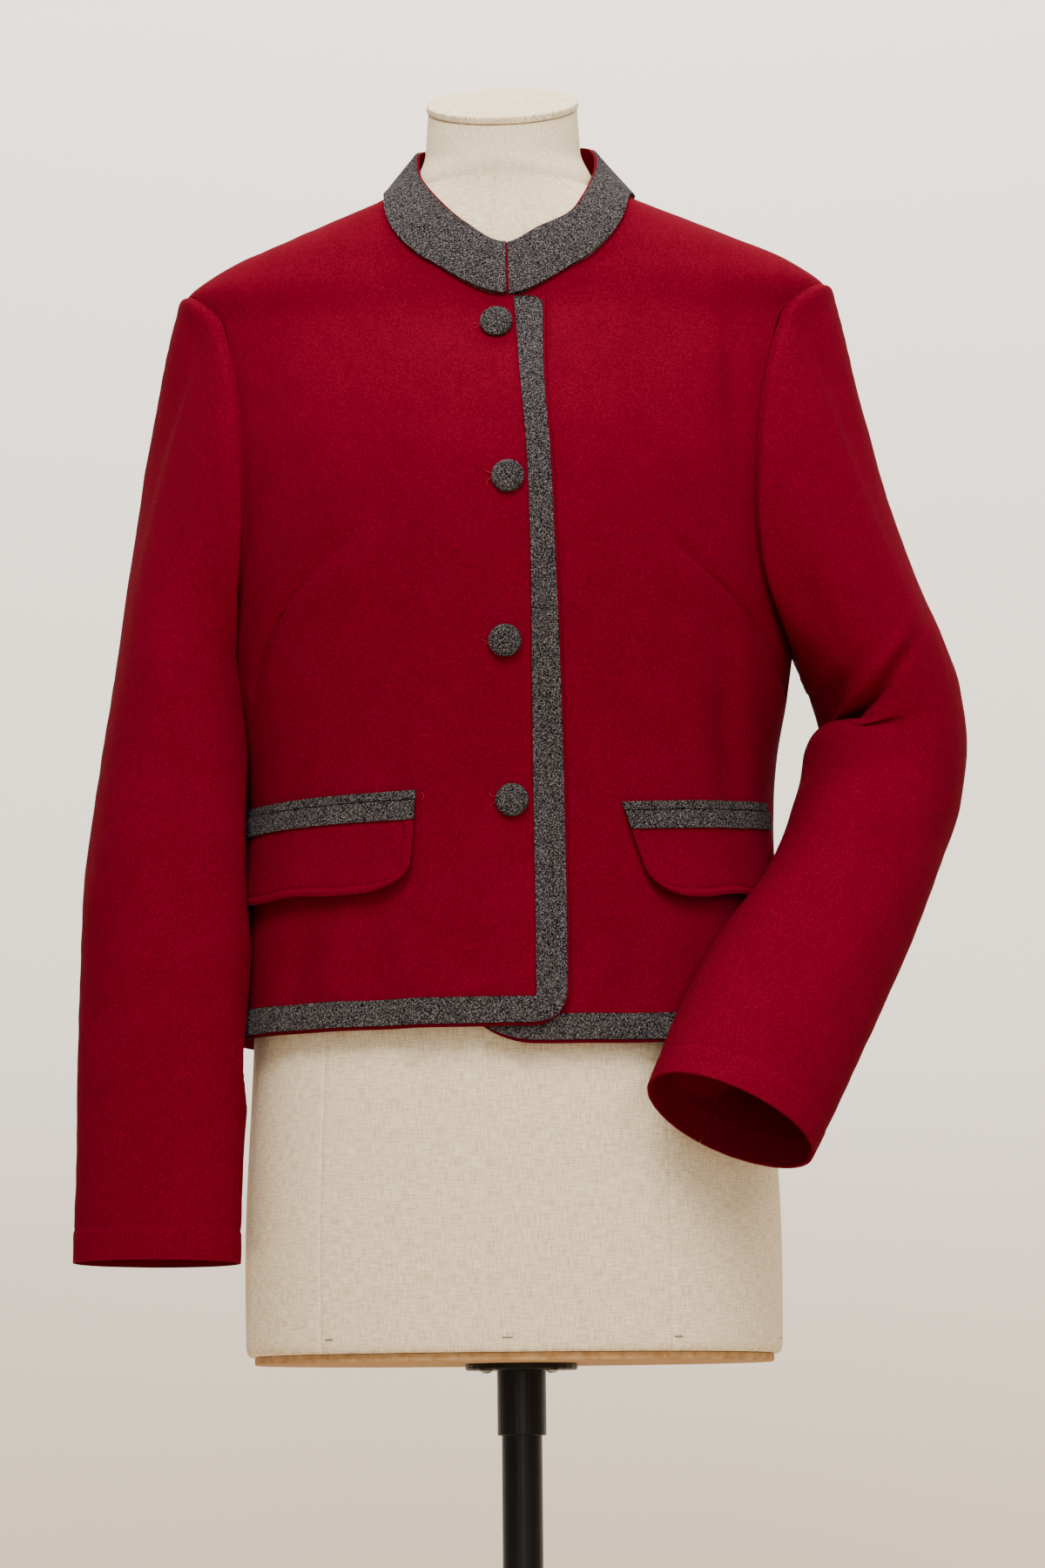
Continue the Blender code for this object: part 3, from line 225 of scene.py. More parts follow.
def armhole(turn):
    turn = np.mod(turn, 360)
    middle = (cloth["shoulderTip"] + cloth["underarm"]) / 2
    half = (cloth["shoulderTip"] - cloth["underarm"]) / 2
    return smooth(turn, cloth["armTurn"], cloth["armAngle"]), middle + half * np.cos(np.radians(turn))


def armTurns():
    return (np.linspace(cloth["seamTurn"], 180, cloth["frontArmRows"] + 1),
            np.linspace(cloth["seamTurn"], -180, cloth["backArmRows"] + 1))


def pastMiddle(side, height):
    return smooth(height, cloth["edgeHeight"], cloth[side])


def hemHeight(side, angle):
    if side == "right":
        return np.full(np.shape(angle), cloth["hem"])
    rise = cloth["sideHem"] - cloth["underHem"]
    if side == "left":
        return cloth["underHem"] + rise * np.clip(angle / 90, 0, 1) ** 2
    return cloth["sideHem"] + (cloth["hem"] - cloth["sideHem"]) * np.clip((angle - 90) / 180, 0, 1)


def roundCorner(side, x, height):
    # turns the square lower corner into a quarter of a disc
    radius, low = cloth["corner"][side], cloth["frontHem"][side]
    middleX = radius - pastMiddle(side, low)
    over = np.clip((middleX - x) / radius, 0, 1)
    down = np.clip((low + radius - height) / radius, 0, 1)
    inside = (over > 0) & (down > 0)
    roundX = middleX - radius * over * np.sqrt(1 - down ** 2 / 2)
    roundHeight = low + radius - radius * down * np.sqrt(1 - over ** 2 / 2)
    return np.where(inside, roundX, x), np.where(inside, roundHeight, height)


def frontLift(side, angle, height):
    if side == "left":
        return np.zeros(np.shape(angle))
    x = body(angle, height)[..., 0]
    lift = cloth["overLift"] + cloth["trimLift"] * ramp(height, 0.985, 0.945)
    return lift * ramp(-x, 0.080, 0.038)


def edgeRows():
    shoulder = np.linspace(0, 1, cloth["shoulderRows"] + 1)[:-1]
    low = cloth["neckFront"] - cloth["neckReach"]
    down = np.linspace(0, 1, cloth["frontArmRows"] + 1)
    return np.concatenate([cloth["neckFront"] - cloth["neckReach"] * shoulder,
                           low + (cloth["underarm"] - low) * down])


def hemAngles(side, columns=None):
    low = cloth["frontHem"][side]
    last = 90 - math.degrees(cloth["gap"] / 2 / section("halfWidth", cloth["underarm"]))
    return np.linspace(angleAt(-pastMiddle(side, low), low), last, (columns or cloth["frontColumns"]) + 1)


def outerLine(way, turns):
    # a panel's outer boundary: shoulder seam, armhole, side seam
    shoulder = np.linspace(0, 1, cloth["shoulderRows"] + 1)[:-1]
    neckEnd = neckline(way * cloth["seamNeckTurn"])
    seamAngle, seamHeight = armhole(cloth["seamTurn"])
    armAngle, armHeight = armhole(turns)
    angle = np.concatenate([way * neckEnd[0] + (seamAngle - way * neckEnd[0]) * shoulder, armAngle,
                            np.full(cloth["sideRows"], 90.0)])
    height = np.concatenate([neckEnd[1] + (seamHeight - neckEnd[1]) * shoulder, armHeight,
                             np.full(cloth["sideRows"], cloth["underarm"])])
    below = np.concatenate([np.zeros(len(shoulder) + len(turns)),
                            np.linspace(0, 1, cloth["sideRows"] + 1)[1:]])[:, None]
    return angle, height, below


def frontChart(side):
    # own-sense angle and height of a front's points: rows fan out from the neck to the hem
    way, seam = sign[side], math.degrees(cloth["gap"] / 2 / section("halfWidth", cloth["underarm"]))
    outerAngle, outerHeight, below = outerLine(way, armTurns()[0])
    outerAngle = outerAngle - seam
    edgeHeight = np.concatenate([edgeRows(), np.full(cloth["sideRows"], cloth["underarm"])])
    share = np.linspace(0, 1, cloth["frontColumns"] + 1)
    height = edgeHeight[:, None] + (outerHeight - edgeHeight)[:, None] * share
    edgeAngle = angleAt(-pastMiddle(side, edgeHeight), edgeHeight)
    angle = edgeAngle[:, None] + (outerAngle - edgeAngle)[:, None] * share
    height = height + (hemHeight(side, hemAngles(side)) - cloth["underarm"]) * below
    flat = 2
    firstTurn = way * math.degrees(math.asin((collar["meeting"] - collar["centre"]) / collar["halfWidth"]))
    count = cloth["frontColumns"] - flat
    turn = firstTurn + (cloth["seamNeckTurn"] - firstTurn) * (np.arange(count + 1) / count)
    neckAngle, neckHeight = neckline(way * turn)
    edgeTop = -pastMiddle(side, cloth["neckFront"])
    tabX = edgeTop + (collar["meeting"] * way - edgeTop) * np.arange(flat) / flat
    firstX = np.concatenate([tabX, body(way * neckAngle, neckHeight)[:, 0]])
    firstHeight = np.concatenate([np.full(flat, cloth["neckFront"] + 0.5 * mm), neckHeight])
    x = body(angle, height)[..., 0]
    rows = np.arange(len(edgeHeight))
    fade = 1 - ramp(rows / (cloth["shoulderRows"] + cloth["frontArmRows"] * 0.6), 0, 1)[:, None]
    newHeight = height + fade * (firstHeight - height[0])
    newX = np.minimum(x + fade * (firstX - x[0]), 0.997 * section("halfWidth", newHeight))
    angle = np.where((fade > 0) & (share < 1), angleAt(newX, newHeight), angle)
    height = np.where(fade > 0, newHeight, height)
    angle = np.concatenate([angleAt(-pastMiddle(side, height[:, :1]), height[:, :1]), angle[:, 1:]], axis=1)
    return angle, height


def backChart():
    turns = armTurns()[1]
    outerAngle, outerHeight, below = outerLine(1, turns)
    outerAngle = outerAngle + math.degrees(cloth["gap"] / 2 / section("halfWidth", cloth["underarm"]))
    share = np.linspace(0, 1, cloth["backColumns"] + 1)
    angle = outerAngle[:, None] + (360 - 2 * outerAngle)[:, None] * share
    first = cloth["seamNeckTurn"]
    neckAngle, neckHeight = neckline(first + (360 - 2 * first) * share)
    middle = np.concatenate([np.linspace(neckHeight.max(), cloth["backYoke"], cloth["shoulderRows"] + 1),
                             np.linspace(cloth["backYoke"], cloth["underarm"], cloth["backArmRows"] + 1)[1:],
                             np.full(cloth["sideRows"], cloth["underarm"])])
    height = middle[:, None] + (outerHeight - middle)[:, None] * np.abs(2 * share - 1) ** 3
    height = height + (hemHeight("back", angle) - cloth["underarm"]) * below
    rows = np.arange(len(outerHeight))
    fade = 1 - ramp(rows / (cloth["shoulderRows"] + cloth["backArmRows"] * 0.4), 0, 1)[:, None]
    return angle + fade * (neckAngle - angle[0]), height + fade * (neckHeight - height[0])


# folds, seams and dimples of the cloth: how far its surface is moved out at (x, z)

folds = {
    "right": {
        "grooves": [  # points, half width, depth
            ([(-0.089, 1.197), (-0.096, 1.189), (-0.111, 1.176), (-0.122, 1.167), (-0.135, 1.154),
              (-0.142, 1.143), (-0.150, 1.128), (-0.160, 1.100)], 0.0014, 0.0019),
            ([(-0.096, 1.193), (-0.118, 1.174), (-0.140, 1.150), (-0.158, 1.110)], 0.0050, 0.0010),
        ],
        "swells": [  # middle, reach across, reach up, turn in degrees, how far out
            (-0.100, 1.165, 0.030, 0.012, 40, 0.0016),
            (-0.060, 0.925, 0.012, 0.040, 8, 0.0016),
            (-0.105, 0.920, 0.011, 0.034, -8, 0.0026),
            (-0.130, 0.918, 0.009, 0.030, -14, -0.0026),
            (-0.095, 0.950, 0.030, 0.008, 4, -0.0016),
            (-0.010, 0.905, 0.016, 0.006, 25, 0.0022),
            (0.004, 0.914, 0.020, 0.005, 30, -0.0014),
            (-0.080, 0.902, 0.012, 0.010, 0, -0.0012),
            (-0.150, 1.300, 0.012, 0.050, -12, -0.0018),
        ],
    },
    "left": {
        "grooves": [
            ([(0.108, 1.196), (0.118, 1.181), (0.128, 1.172), (0.144, 1.159), (0.157, 1.145),
              (0.168, 1.131), (0.177, 1.117), (0.181, 1.100)], 0.0014, 0.0019),
            ([(0.112, 1.190), (0.136, 1.168), (0.160, 1.143), (0.180, 1.108)], 0.0050, 0.0010),
        ],
        "swells": [
            (0.128, 1.160, 0.030, 0.012, -42, 0.0016),
            (0.125, 1.080, 0.008, 0.060, 4, 0.0020),
            (0.143, 1.070, 0.007, 0.065, 2, -0.0024),
            (0.157, 1.060, 0.006, 0.060, 0, 0.0018),
            (0.080, 0.925, 0.012, 0.036, 6, -0.0018),
            (0.110, 0.920, 0.012, 0.034, 10, 0.0018),
            (0.060, 0.905, 0.010, 0.020, -16, 0.0014),
            (0.150, 1.300, 0.008, 0.050, 2, -0.0032),
            (0.138, 1.290, 0.010, 0.055, 2, 0.0014),
            (0.070, 1.340, 0.030, 0.012, 24, 0.0008),
            (0.034, 1.352, 0.0034, 0.010, -25, 0.0010), (0.044, 1.359, 0.0034, 0.010, -35, -0.0010),
            (0.053, 1.367, 0.0034, 0.011, -45, 0.0010), (0.061, 1.376, 0.0034, 0.011, -50, -0.0009),
        ],
    },
    "back": {
        "grooves": [],
        "swells": [
            (0.070, 1.080, 0.014, 0.080, 6, 0.0022),
            (-0.070, 1.080, 0.014, 0.080, -6, 0.0022),
            (0.000, 1.370, 0.070, 0.008, 0, 0.0012),
            (0.110, 1.240, 0.012, 0.060, 10, 0.0020),
            (-0.110, 1.240, 0.012, 0.060, -10, 0.0020),
            (0.030, 0.950, 0.014, 0.050, 3, -0.0016),
            (-0.045, 0.945, 0.014, 0.050, -3, 0.0016),
        ],
    },
}


def relief(side, x, z):
    own = folds[side]
    total = 0.45 * mm * wander(x, z, 0.055, 11) + 0.25 * mm * wander(x, z, 0.022, 12)
    for points, width, depth in own["grooves"]:
        away, along = lineReach(x, z, points)
        total = total - depth * np.exp(-(away / width) ** 2) * ramp(along, 0.0, 0.12)
    for midX, midZ, across, up, turn, out in own["swells"]:
        c, s = math.cos(math.radians(turn)), math.sin(math.radians(turn))
        u, v = (x - midX) * c + (z - midZ) * s, -(x - midX) * s + (z - midZ) * c
        total = total + out * np.exp(-(u / across) ** 2 - (v / up) ** 2)
    # the hem stands in soft waves
    return total + 1.1 * mm * ramp(z, 0.935, 0.880) * np.sin(x * 95 + 0.7) * np.cos(x * 31)


def onPanel(side, angle, height, out):
    # points on a front from own-sense angles, with the front's lift and folds below them
    turn = angle * sign[side]
    place = body(turn, height)
    out = out + frontLift(side, turn, height) + relief(side, place[..., 0], height)
    return onBody(turn, height, out)


# sleeves

sleeves = {
    # columns: x, y, z, outer, inner, depth
    "right": np.array([
        (0.2100, -0.010, 1.108, 0.0460, 0.0500, 0.070), (0.2160, -0.020, 1.050, 0.0480, 0.0560, 0.063),
        (0.2210, -0.032, 0.990, 0.0500, 0.0605, 0.057), (0.2235, -0.042, 0.930, 0.0495, 0.0620, 0.048),
        (0.2240, -0.048, 0.870, 0.0500, 0.0605, 0.042), (0.2225, -0.051, 0.800, 0.0525, 0.0540, 0.036),
        (0.2230, -0.054, 0.738, 0.0535, 0.0530, 0.032)]),
    "left": np.array([
        (0.2370, 0.000, 1.122, 0.0475, 0.0480, 0.060), (0.2500, 0.004, 1.094, 0.0440, 0.0560, 0.057),
        (0.2560, 0.003, 1.070, 0.0400, 0.0610, 0.054), (0.2480, -0.006, 1.043, 0.0460, 0.0620, 0.050),
        (0.2300, -0.028, 1.008, 0.0515, 0.0510, 0.048), (0.2100, -0.054, 0.966, 0.0560, 0.0460, 0.046),
        (0.1850, -0.086, 0.914, 0.0580, 0.0550, 0.044), (0.1600, -0.117, 0.863, 0.0600, 0.0550, 0.043),
        (0.1405, -0.141, 0.820, 0.0590, 0.0520, 0.042)]),
    "lap": 0.6 * mm, "handle": 0.016, "handleShare": 0.30, "drop": 0.45,
    "clearHeight": [0.700, 0.820, 0.862, 0.900, 0.940, 0.960, 1.032, 1.055, 1.200, 1.500],
    "clear": [-0.0080, -0.0080, 0.0055, 0.0055, 0.0060, 0.0105, 0.0105, 0.0050, 0.0040, 0.0040],
    "elbow": {"turn": 150.0, "turnWidth": 36.0, "run": 1.085, "runWidth": 0.09, "depth": 0.013,
              "slant": 0.0011},
}


def tube(side, turn, along):
    # a sleeve below the arm: an oval carried along a line, wider outside than inside where the table says
    table = sleeves[side]
    stations = np.concatenate([[0], np.cumsum(np.linalg.norm(np.diff(table[:, :3], axis=0), axis=1))])
    stations = stations / stations[-1]

    def middle(at):
        return smooth(at, stations, table[:, :3])

    forward = unit(middle(np.clip(along + 0.02, 0, 1)) - middle(np.clip(along - 0.02, 0, 1)))
    width = unit(np.cross(forward, np.array([0.0, 1.0, 0.0])))
    depth = np.cross(width, forward)
    around = np.radians(turn)
    outer, inner, deep = (smooth(along, stations, table[:, k]) for k in (3, 4, 5))
    reach = np.where(np.cos(around) > 0, outer, inner)
    point = (middle(along) + width * (reach * np.cos(around))[..., None]
             - depth * (deep * np.sin(around))[..., None])
    return point, forward, middle(along)


def keepClear(point, share):
    x, y, z = point[..., 0], point[..., 1], point[..., 2]
    clearance = smooth(z, sleeves["clearHeight"], sleeves["clear"]) * share
    out = shareOut(x, y, z)[1]
    least = 1 + clearance / np.maximum(np.hypot(x, y), 0.05) * 1.15
    factor = np.where((out < least) & (z < cloth["underarm"] + 0.20), least / np.maximum(out, 0.2), 1.0)
    return np.stack([x * factor, y * factor, z], axis=-1)


def sleeveFrame(turn):
    angle, height = armhole(turn)
    normal = bodyNormal(angle, height)
    ring = unit(body(*armhole(turn + 1.0)) - body(*armhole(turn - 1.0)))
    around = np.radians(turn)
    facing = unit(np.stack([np.cos(around), np.sin(around) ** 2], axis=-1))
    return normal, np.cross(ring, normal), facing


def sleeveOutside(side, turn, run):
    # run 0 at the armhole, 1 below it, 2 at the cuff: a cubic curve leaves the armhole and joins the tube
    turn, run = np.broadcast_arrays(np.asarray(turn, float), np.asarray(run, float))
    hole = body(*armhole(turn))
    normal, away, facing = sleeveFrame(turn)
    leave = facing[..., 1:] * normal - facing[..., :1] * away
    start = hole + normal * (sleeves["lap"] * (2 - facing[..., :1])
                             + cloth["wool"] * (0.5 + 0.5 * facing[..., :1]))
    end, forward, _ = tube(side, turn, np.zeros(turn.shape))
    drop = np.linalg.norm(end - start, axis=-1, keepdims=True)
    first = start + leave * np.minimum(sleeves["handle"], sleeves["handleShare"] * drop)
    second = end - forward * sleeves["drop"] * drop
    t = np.clip(run, 0, 1)[..., None]
    cap = (start * (1 - t) ** 3 + 3 * first * t * (1 - t) ** 2
           + 3 * second * t ** 2 * (1 - t) + end * t ** 3)
    lower = tube(side, turn, np.clip(run - 1, 0, 1))[0]
    point = np.where((run <= 1)[..., None], cap, lower)
    if side == "left":
        own = sleeves["elbow"]
        bump = np.exp(-((np.mod(turn, 360) - own["turn"]) / own["turnWidth"]) ** 2
                      - ((run - own["run"] - own["slant"] * (turn - own["turn"])) / own["runWidth"]) ** 2)
        inward = unit(tube(side, turn + 180.0, np.clip(run - 1, 0, 1))[0] - point)
        point = point + inward * (own["depth"] * bump)[..., None]
    return keepClear(point, ramp(run, 0.0, 0.25))


def sleeveNormals(side, turn, run):
    outside = sleeveOutside(side, turn, run)
    around = sleeveOutside(side, turn + 1.5, run) - sleeveOutside(side, turn - 1.5, run)
    down = (sleeveOutside(side, turn, np.clip(run + 0.02, 0, 2))
            - sleeveOutside(side, turn, np.clip(run - 0.02, 0, 2)))
    normal = unit(np.cross(down, around))
    bodyWay, away, facing = sleeveFrame(turn)
    leaving = facing[..., :1] * bodyWay + facing[..., 1:] * away
    centre = tube(side, turn, np.clip(run - 1, 0, 1))[2]
    lower = ramp(run, 0.3, 1.0)[..., None]
    expected = leaving * (1 - lower) + unit(outside - centre) * lower
    normal = normal * np.sign(np.sum(normal * expected, axis=-1, keepdims=True))
    normal = unit(normal + 2 * leaving * (1 - ramp(run, 0.0, 0.15))[..., None])
    for _ in range(4):
        normal[1:-1] = unit(normal[:-2] + 2 * normal[1:-1] + normal[2:])
    return normal


def seamedIn(turn, run, point):
    # beside the armhole the sleeve comes down to the panel's level, just inside the panel's edge
    normal, away, facing = sleeveFrame(turn)
    near = np.exp(-(run / 0.045) ** 2)[..., None]
    onTop = ramp(np.cos(np.radians(turn)), -0.5, 0.1)[..., None]
    level = sleeves["lap"] * (2 - facing[..., :1]) + cloth["wool"] * (0.5 + 0.5 * facing[..., :1])
    return point - (normal * level * onTop + away * 0.5 * mm) * near


def seamTuck(turn):
    # seam allowance that turns down inside the armhole, past the panel's edge
    normal, away, _ = sleeveFrame(turn)
    return -4.5 * mm * normal - 0.4 * mm * away


# folds of the sleeves: turn, run, reach in turn and in run, slant (turn per run), how far out
sleeveFolds = {
    "right": [
        (60, 0.55, 16, 0.25, 30, -0.0020), (100, 0.75, 14, 0.25, 20, -0.0024),
        (80, 1.05, 12, 0.22, 15, 0.0016), (40, 1.40, 20, 0.10, -160, 0.0012),
        (75, 1.52, 22, 0.05, -200, 0.0014), (60, 1.60, 22, 0.05, -200, -0.0012),
        (110, 1.30, 12, 0.28, 10, -0.0016), (30, 1.75, 16, 0.14, 60, 0.0010),
        (250, 0.70, 16, 0.30, -20, -0.0024), (290, 1.10, 16, 0.20, 30, 0.0018),
        (150, 1.36, 24, 0.28, 0, 0.0045),
    ],
    "left": [
        (118, 0.62, 12, 0.22, -30, -0.0024), (95, 0.80, 14, 0.25, -30, 0.0018),
        (70, 0.60, 14, 0.30, 20, -0.0014),
        (138, 1.056, 17, 0.070, 800, 0.0070), (138, 1.092, 13, 0.075, 800, -0.0105),
        (122, 1.150, 18, 0.050, 700, 0.0024), (85, 1.27, 22, 0.035, -120, -0.0014),
        (150, 1.30, 26, 0.040, 140, -0.0030), (128, 1.40, 20, 0.060, 120, 0.0018),
        (60, 1.62, 16, 0.18, 20, 0.0012), (110, 1.70, 14, 0.20, 10, -0.0014),
        (250, 1.15, 30, 0.05, 60, 0.0030), (230, 1.25, 30, 0.04, 60, -0.0030),
        (270, 0.70, 16, 0.30, -20, -0.0024),
    ],
}


def sleeveRelief(side, turn, run, length):
    total = (0.5 * mm * wander(turn / 700, run * 0.33, 0.06, 21)
             + 0.25 * mm * wander(turn / 700, run * 0.33, 0.024, 22))
    for midTurn, midRun, reachTurn, reachRun, slant, out in sleeveFolds[side]:
        off = np.mod(turn - midTurn - slant * (run - midRun) + 180, 360) - 180
        total = total + out * np.exp(-(off / reachTurn) ** 2 - ((run - midRun) / reachRun) ** 2)
    total = total * ramp(run, 0.02, 0.20)
    # the cloth puffs a little beside the armhole seam
    roll = 0.8 * mm * np.exp(-((run - 0.10) / 0.06) ** 2) * (0.5 + 0.5 * np.cos(np.radians(turn)))
    # the hem at the cuff is held by one row of blind stitches
    fromCuff = (2 - run) * length
    crease = (-0.5 * mm * np.exp(-((fromCuff - 0.021) / 0.0014) ** 2)
              + 0.35 * mm * ramp(fromCuff, 0.022, 0.019))
    return total + roll + crease


# materials

def toLinear(text, alpha=1.0):
    values = [int(text[k:k + 2], 16) / 255 for k in (1, 3, 5)]
    return tuple(v / 12.92 if v <= 0.04045 else ((v + 0.055) / 1.055) ** 2.4 for v in values) + (alpha,)


def addNode(tree, kind, settings=None, inputs=None, links=None):
    node = tree.nodes.new(kind)
    for name, value in (settings or {}).items():
        setattr(node, name, value)
    for name, value in (inputs or {}).items():
        node.inputs[name].default_value = value
    for name, socket in (links or {}).items():
        tree.links.new(socket, node.inputs[name])
    return node


def newMaterial(name, roughness, specular):
    material = bpy.data.materials.new(name)
    material.use_nodes = True
    shader = material.node_tree.nodes["Principled BSDF"]
    shader.inputs["Roughness"].default_value = roughness
    shader.inputs["Specular IOR Level"].default_value = specular
    return material, material.node_tree, shader


def setRamp(node, stops):
    ramps = node.color_ramp
    while len(ramps.elements) < len(stops):
        ramps.elements.new(0.5)
    for element, (place, colour) in zip(ramps.elements, stops):
        element.position = place
        element.color = toLinear(colour)


def addMath(tree, operation, *terms):
    # each term is a number or another node's output
    node = addNode(tree, "ShaderNodeMath", {"operation": operation})
    for place, term in enumerate(terms):
        if isinstance(term, float):
            node.inputs[place].default_value = term
        else:
            tree.links.new(term, node.inputs[place])
    return node.outputs[0]


def paint(tree, shader, level, stops, height, strength, depth):
    # colour by one level, bump by another
    colour = addNode(tree, "ShaderNodeValToRGB", links={"Fac": level})
    setRamp(colour, stops)
    tree.links.new(colour.outputs["Color"], shader.inputs["Base Color"])
    bump = addNode(tree, "ShaderNodeBump", inputs={"Strength": strength, "Distance": depth},
                   links={"Height": height})
    tree.links.new(bump.outputs["Normal"], shader.inputs["Normal"])


wool = {"deep": "#560114", "plain": "#5F0217", "light": "#6A051E", "nap": 1.3 * mm, "bump": 0.12}


def makeWool(name, deep, plain, light):
    # fulled wool cloth: dull, a short nap that glows a little at the edges, colour almost even
    material, tree, shader = newMaterial(name, 0.95, 0.03)
    place = addNode(tree, "ShaderNodeTexCoord")
    nap = addNode(tree, "ShaderNodeTexNoise", inputs={"Scale": 1 / wool["nap"], "Detail": 3.0},
                  links={"Vector": place.outputs["Object"]})
    cloud = addNode(tree, "ShaderNodeTexNoise", inputs={"Scale": 30.0, "Detail": 3.0},
                    links={"Vector": place.outputs["Object"]})
    soft = addMath(tree, "MULTIPLY", cloud.outputs["Fac"], 0.15)
    both = addMath(tree, "MULTIPLY_ADD", nap.outputs["Fac"], 0.85, soft)
    paint(tree, shader, both, [(0.36, deep), (0.50, plain), (0.66, light)],
          nap.outputs["Fac"], wool["bump"], 0.4 * mm)
    shader.inputs["Sheen Weight"].default_value = 0.02
    shader.inputs["Sheen Roughness"].default_value = 0.5
    shader.inputs["Sheen Tint"].default_value = toLinear("#D0303F")
    return material


felt = {"dark": "#030304", "middle": "#181618", "light": "#7F797B", "fibre": 0.68 * mm, "bump": 0.65}


def makeFelt(name):
    # melange felt: dark and pale fibres mixed, matt, slightly hairy
    material, tree, shader = newMaterial(name, 1.0, 0.04)
    place = addNode(tree, "ShaderNodeTexCoord")
    wide = addNode(tree, "ShaderNodeMapping", inputs={"Scale": (1.0, 1.0, 2.2), "Rotation": (0.3, 0.2, 0.5)},
                   links={"Vector": place.outputs["Object"]})
    tall = addNode(tree, "ShaderNodeMapping", inputs={"Scale": (2.2, 2.2, 1.0), "Rotation": (0.1, 0.6, 0.2)},
                   links={"Vector": place.outputs["Object"]})
    fibres = {"Scale": 0.6 / felt["fibre"], "Detail": 4.0, "Roughness": 0.7}
    first = addNode(tree, "ShaderNodeTexNoise", inputs=fibres, links={"Vector": wide.outputs["Vector"]})
    second = addNode(tree, "ShaderNodeTexNoise", inputs=fibres, links={"Vector": tall.outputs["Vector"]})
    half = addMath(tree, "MULTIPLY", addMath(tree, "ADD", first.outputs["Fac"], second.outputs["Fac"]), 0.5)
    paint(tree, shader, half, [(0.43, felt["dark"]), (0.50, felt["middle"]), (0.60, felt["light"])],
          half, felt["bump"], 0.5 * mm)
    return material


linen = {"shade": "#C0AA87", "plain": "#E4D1AF", "light": "#F8EDD5",
         "thread": 0.9 * mm, "weave": 0.13, "bump": 0.5}


def makeLinen(name):
    # natural linen, plain weave, unbleached: uneven threads both ways. Threads are drawn 0.9 mm apart
    material, tree, shader = newMaterial(name, 0.90, 0.15)
    place = addNode(tree, "ShaderNodeUVMap")
    made = []
    for stretch in ((1.0, 0.10, 1.0), (0.10, 1.0, 1.0)):
        turned = addNode(tree, "ShaderNodeMapping", inputs={"Scale": stretch},
                         links={"Vector": place.outputs["UV"]})
        made.append(addNode(tree, "ShaderNodeTexNoise",
                            inputs={"Scale": 1 / linen["thread"], "Detail": 3.0, "Roughness": 0.6},
                            links={"Vector": turned.outputs["Vector"]}))
    mean = addMath(tree, "ADD", made[0].outputs["Fac"], made[1].outputs["Fac"])
    # over and under: the product of a sine each way
    parts = addNode(tree, "ShaderNodeSeparateXYZ", links={"Vector": place.outputs["UV"]})
    waves = [addMath(tree, "SINE", addMath(tree, "MULTIPLY", parts.outputs[way], math.pi / linen["thread"]))
             for way in ("X", "Y")]
    weave = addMath(tree, "MULTIPLY", waves[0], waves[1])
    level = addMath(tree, "MULTIPLY_ADD", weave, linen["weave"], addMath(tree, "MULTIPLY", mean, 0.5))
    paint(tree, shader, level, [(0.36, linen["shade"]), (0.50, linen["plain"]), (0.64, linen["light"])],
          level, linen["bump"], 0.4 * mm)
    return material


def makePlain(name, colours, size, roughness, specular, metallic=0.0, bumpBy=0.05):
    # an even finish with slight clouding of this size
    material, tree, shader = newMaterial(name, roughness, specular)
    shader.inputs["Metallic"].default_value = metallic
    place = addNode(tree, "ShaderNodeTexCoord")
    cloud = addNode(tree, "ShaderNodeTexNoise", inputs={"Scale": 1 / size, "Detail": 4.0},
                    links={"Vector": place.outputs["Object"]})
    paint(tree, shader, cloud.outputs["Fac"], [(0.35, colours[0]), (0.65, colours[1])],
          cloud.outputs["Fac"], bumpBy, 0.3 * mm)
    return material


redWool = makeWool("fulledRedWool", wool["deep"], wool["plain"], wool["light"])
greyFelt = makeFelt("melangeFelt")
linenCloth = makeLinen("naturalLinen")
fibreBoard = makePlain("rawFibreBoard", ("#9E774A", "#B99469"), 6 * mm, 0.85, 0.2)   # pressed board, brown
blackEnamel = makePlain("blackEnamelOnSteel", ("#0B0A09", "#110F0E"), 40 * mm, 0.35, 0.22)  # half gloss
screwSteel = makePlain("zincPlatedSteel", ("#8C8A86", "#B5B2AC"), 3 * mm, 0.35, 0.5, 1.0)
stapleSteel = makePlain("dullStapleWire", ("#6E665A", "#857B6C"), 3 * mm, 0.5, 0.5, 0.8)
redThread = makePlain("redSewingThread", ("#7E0A18", "#9C1A28"), 1 * mm, 0.8, 0.2)
print("materials made")


# meshes

def meshFrom(name, points, faces, material, uv=None):
    mesh = bpy.data.meshes.new(name)
    faces = np.asarray(faces, np.int32)
    mesh.vertices.add(len(points))
    mesh.vertices.foreach_set("co", np.ascontiguousarray(points, np.float32).ravel())
    mesh.loops.add(faces.size)
    mesh.loops.foreach_set("vertex_index", faces.ravel())
    mesh.polygons.add(len(faces))
    mesh.polygons.foreach_set("loop_start", np.arange(0, faces.size, faces.shape[1], dtype=np.int32))
    mesh.polygons.foreach_set("use_smooth", np.ones(len(faces), bool))
    if uv is not None:
        layer = mesh.uv_layers.new(name="clothUv")
        layer.data.foreach_set("uv", np.ascontiguousarray(uv[faces.ravel()], np.float32).ravel())
    mesh.update()
    mesh.validate()
    mesh.materials.append(material)
    piece = bpy.data.objects.new(name, mesh)
    bpy.context.scene.collection.objects.link(piece)
    return piece


def gridFaces(index, flip):
    quads = np.stack([index[:-1, :-1], index[1:, :-1], index[1:, 1:], index[:-1, 1:]], axis=-1).reshape(-1, 4)
    return quads[:, ::-1] if flip else quads


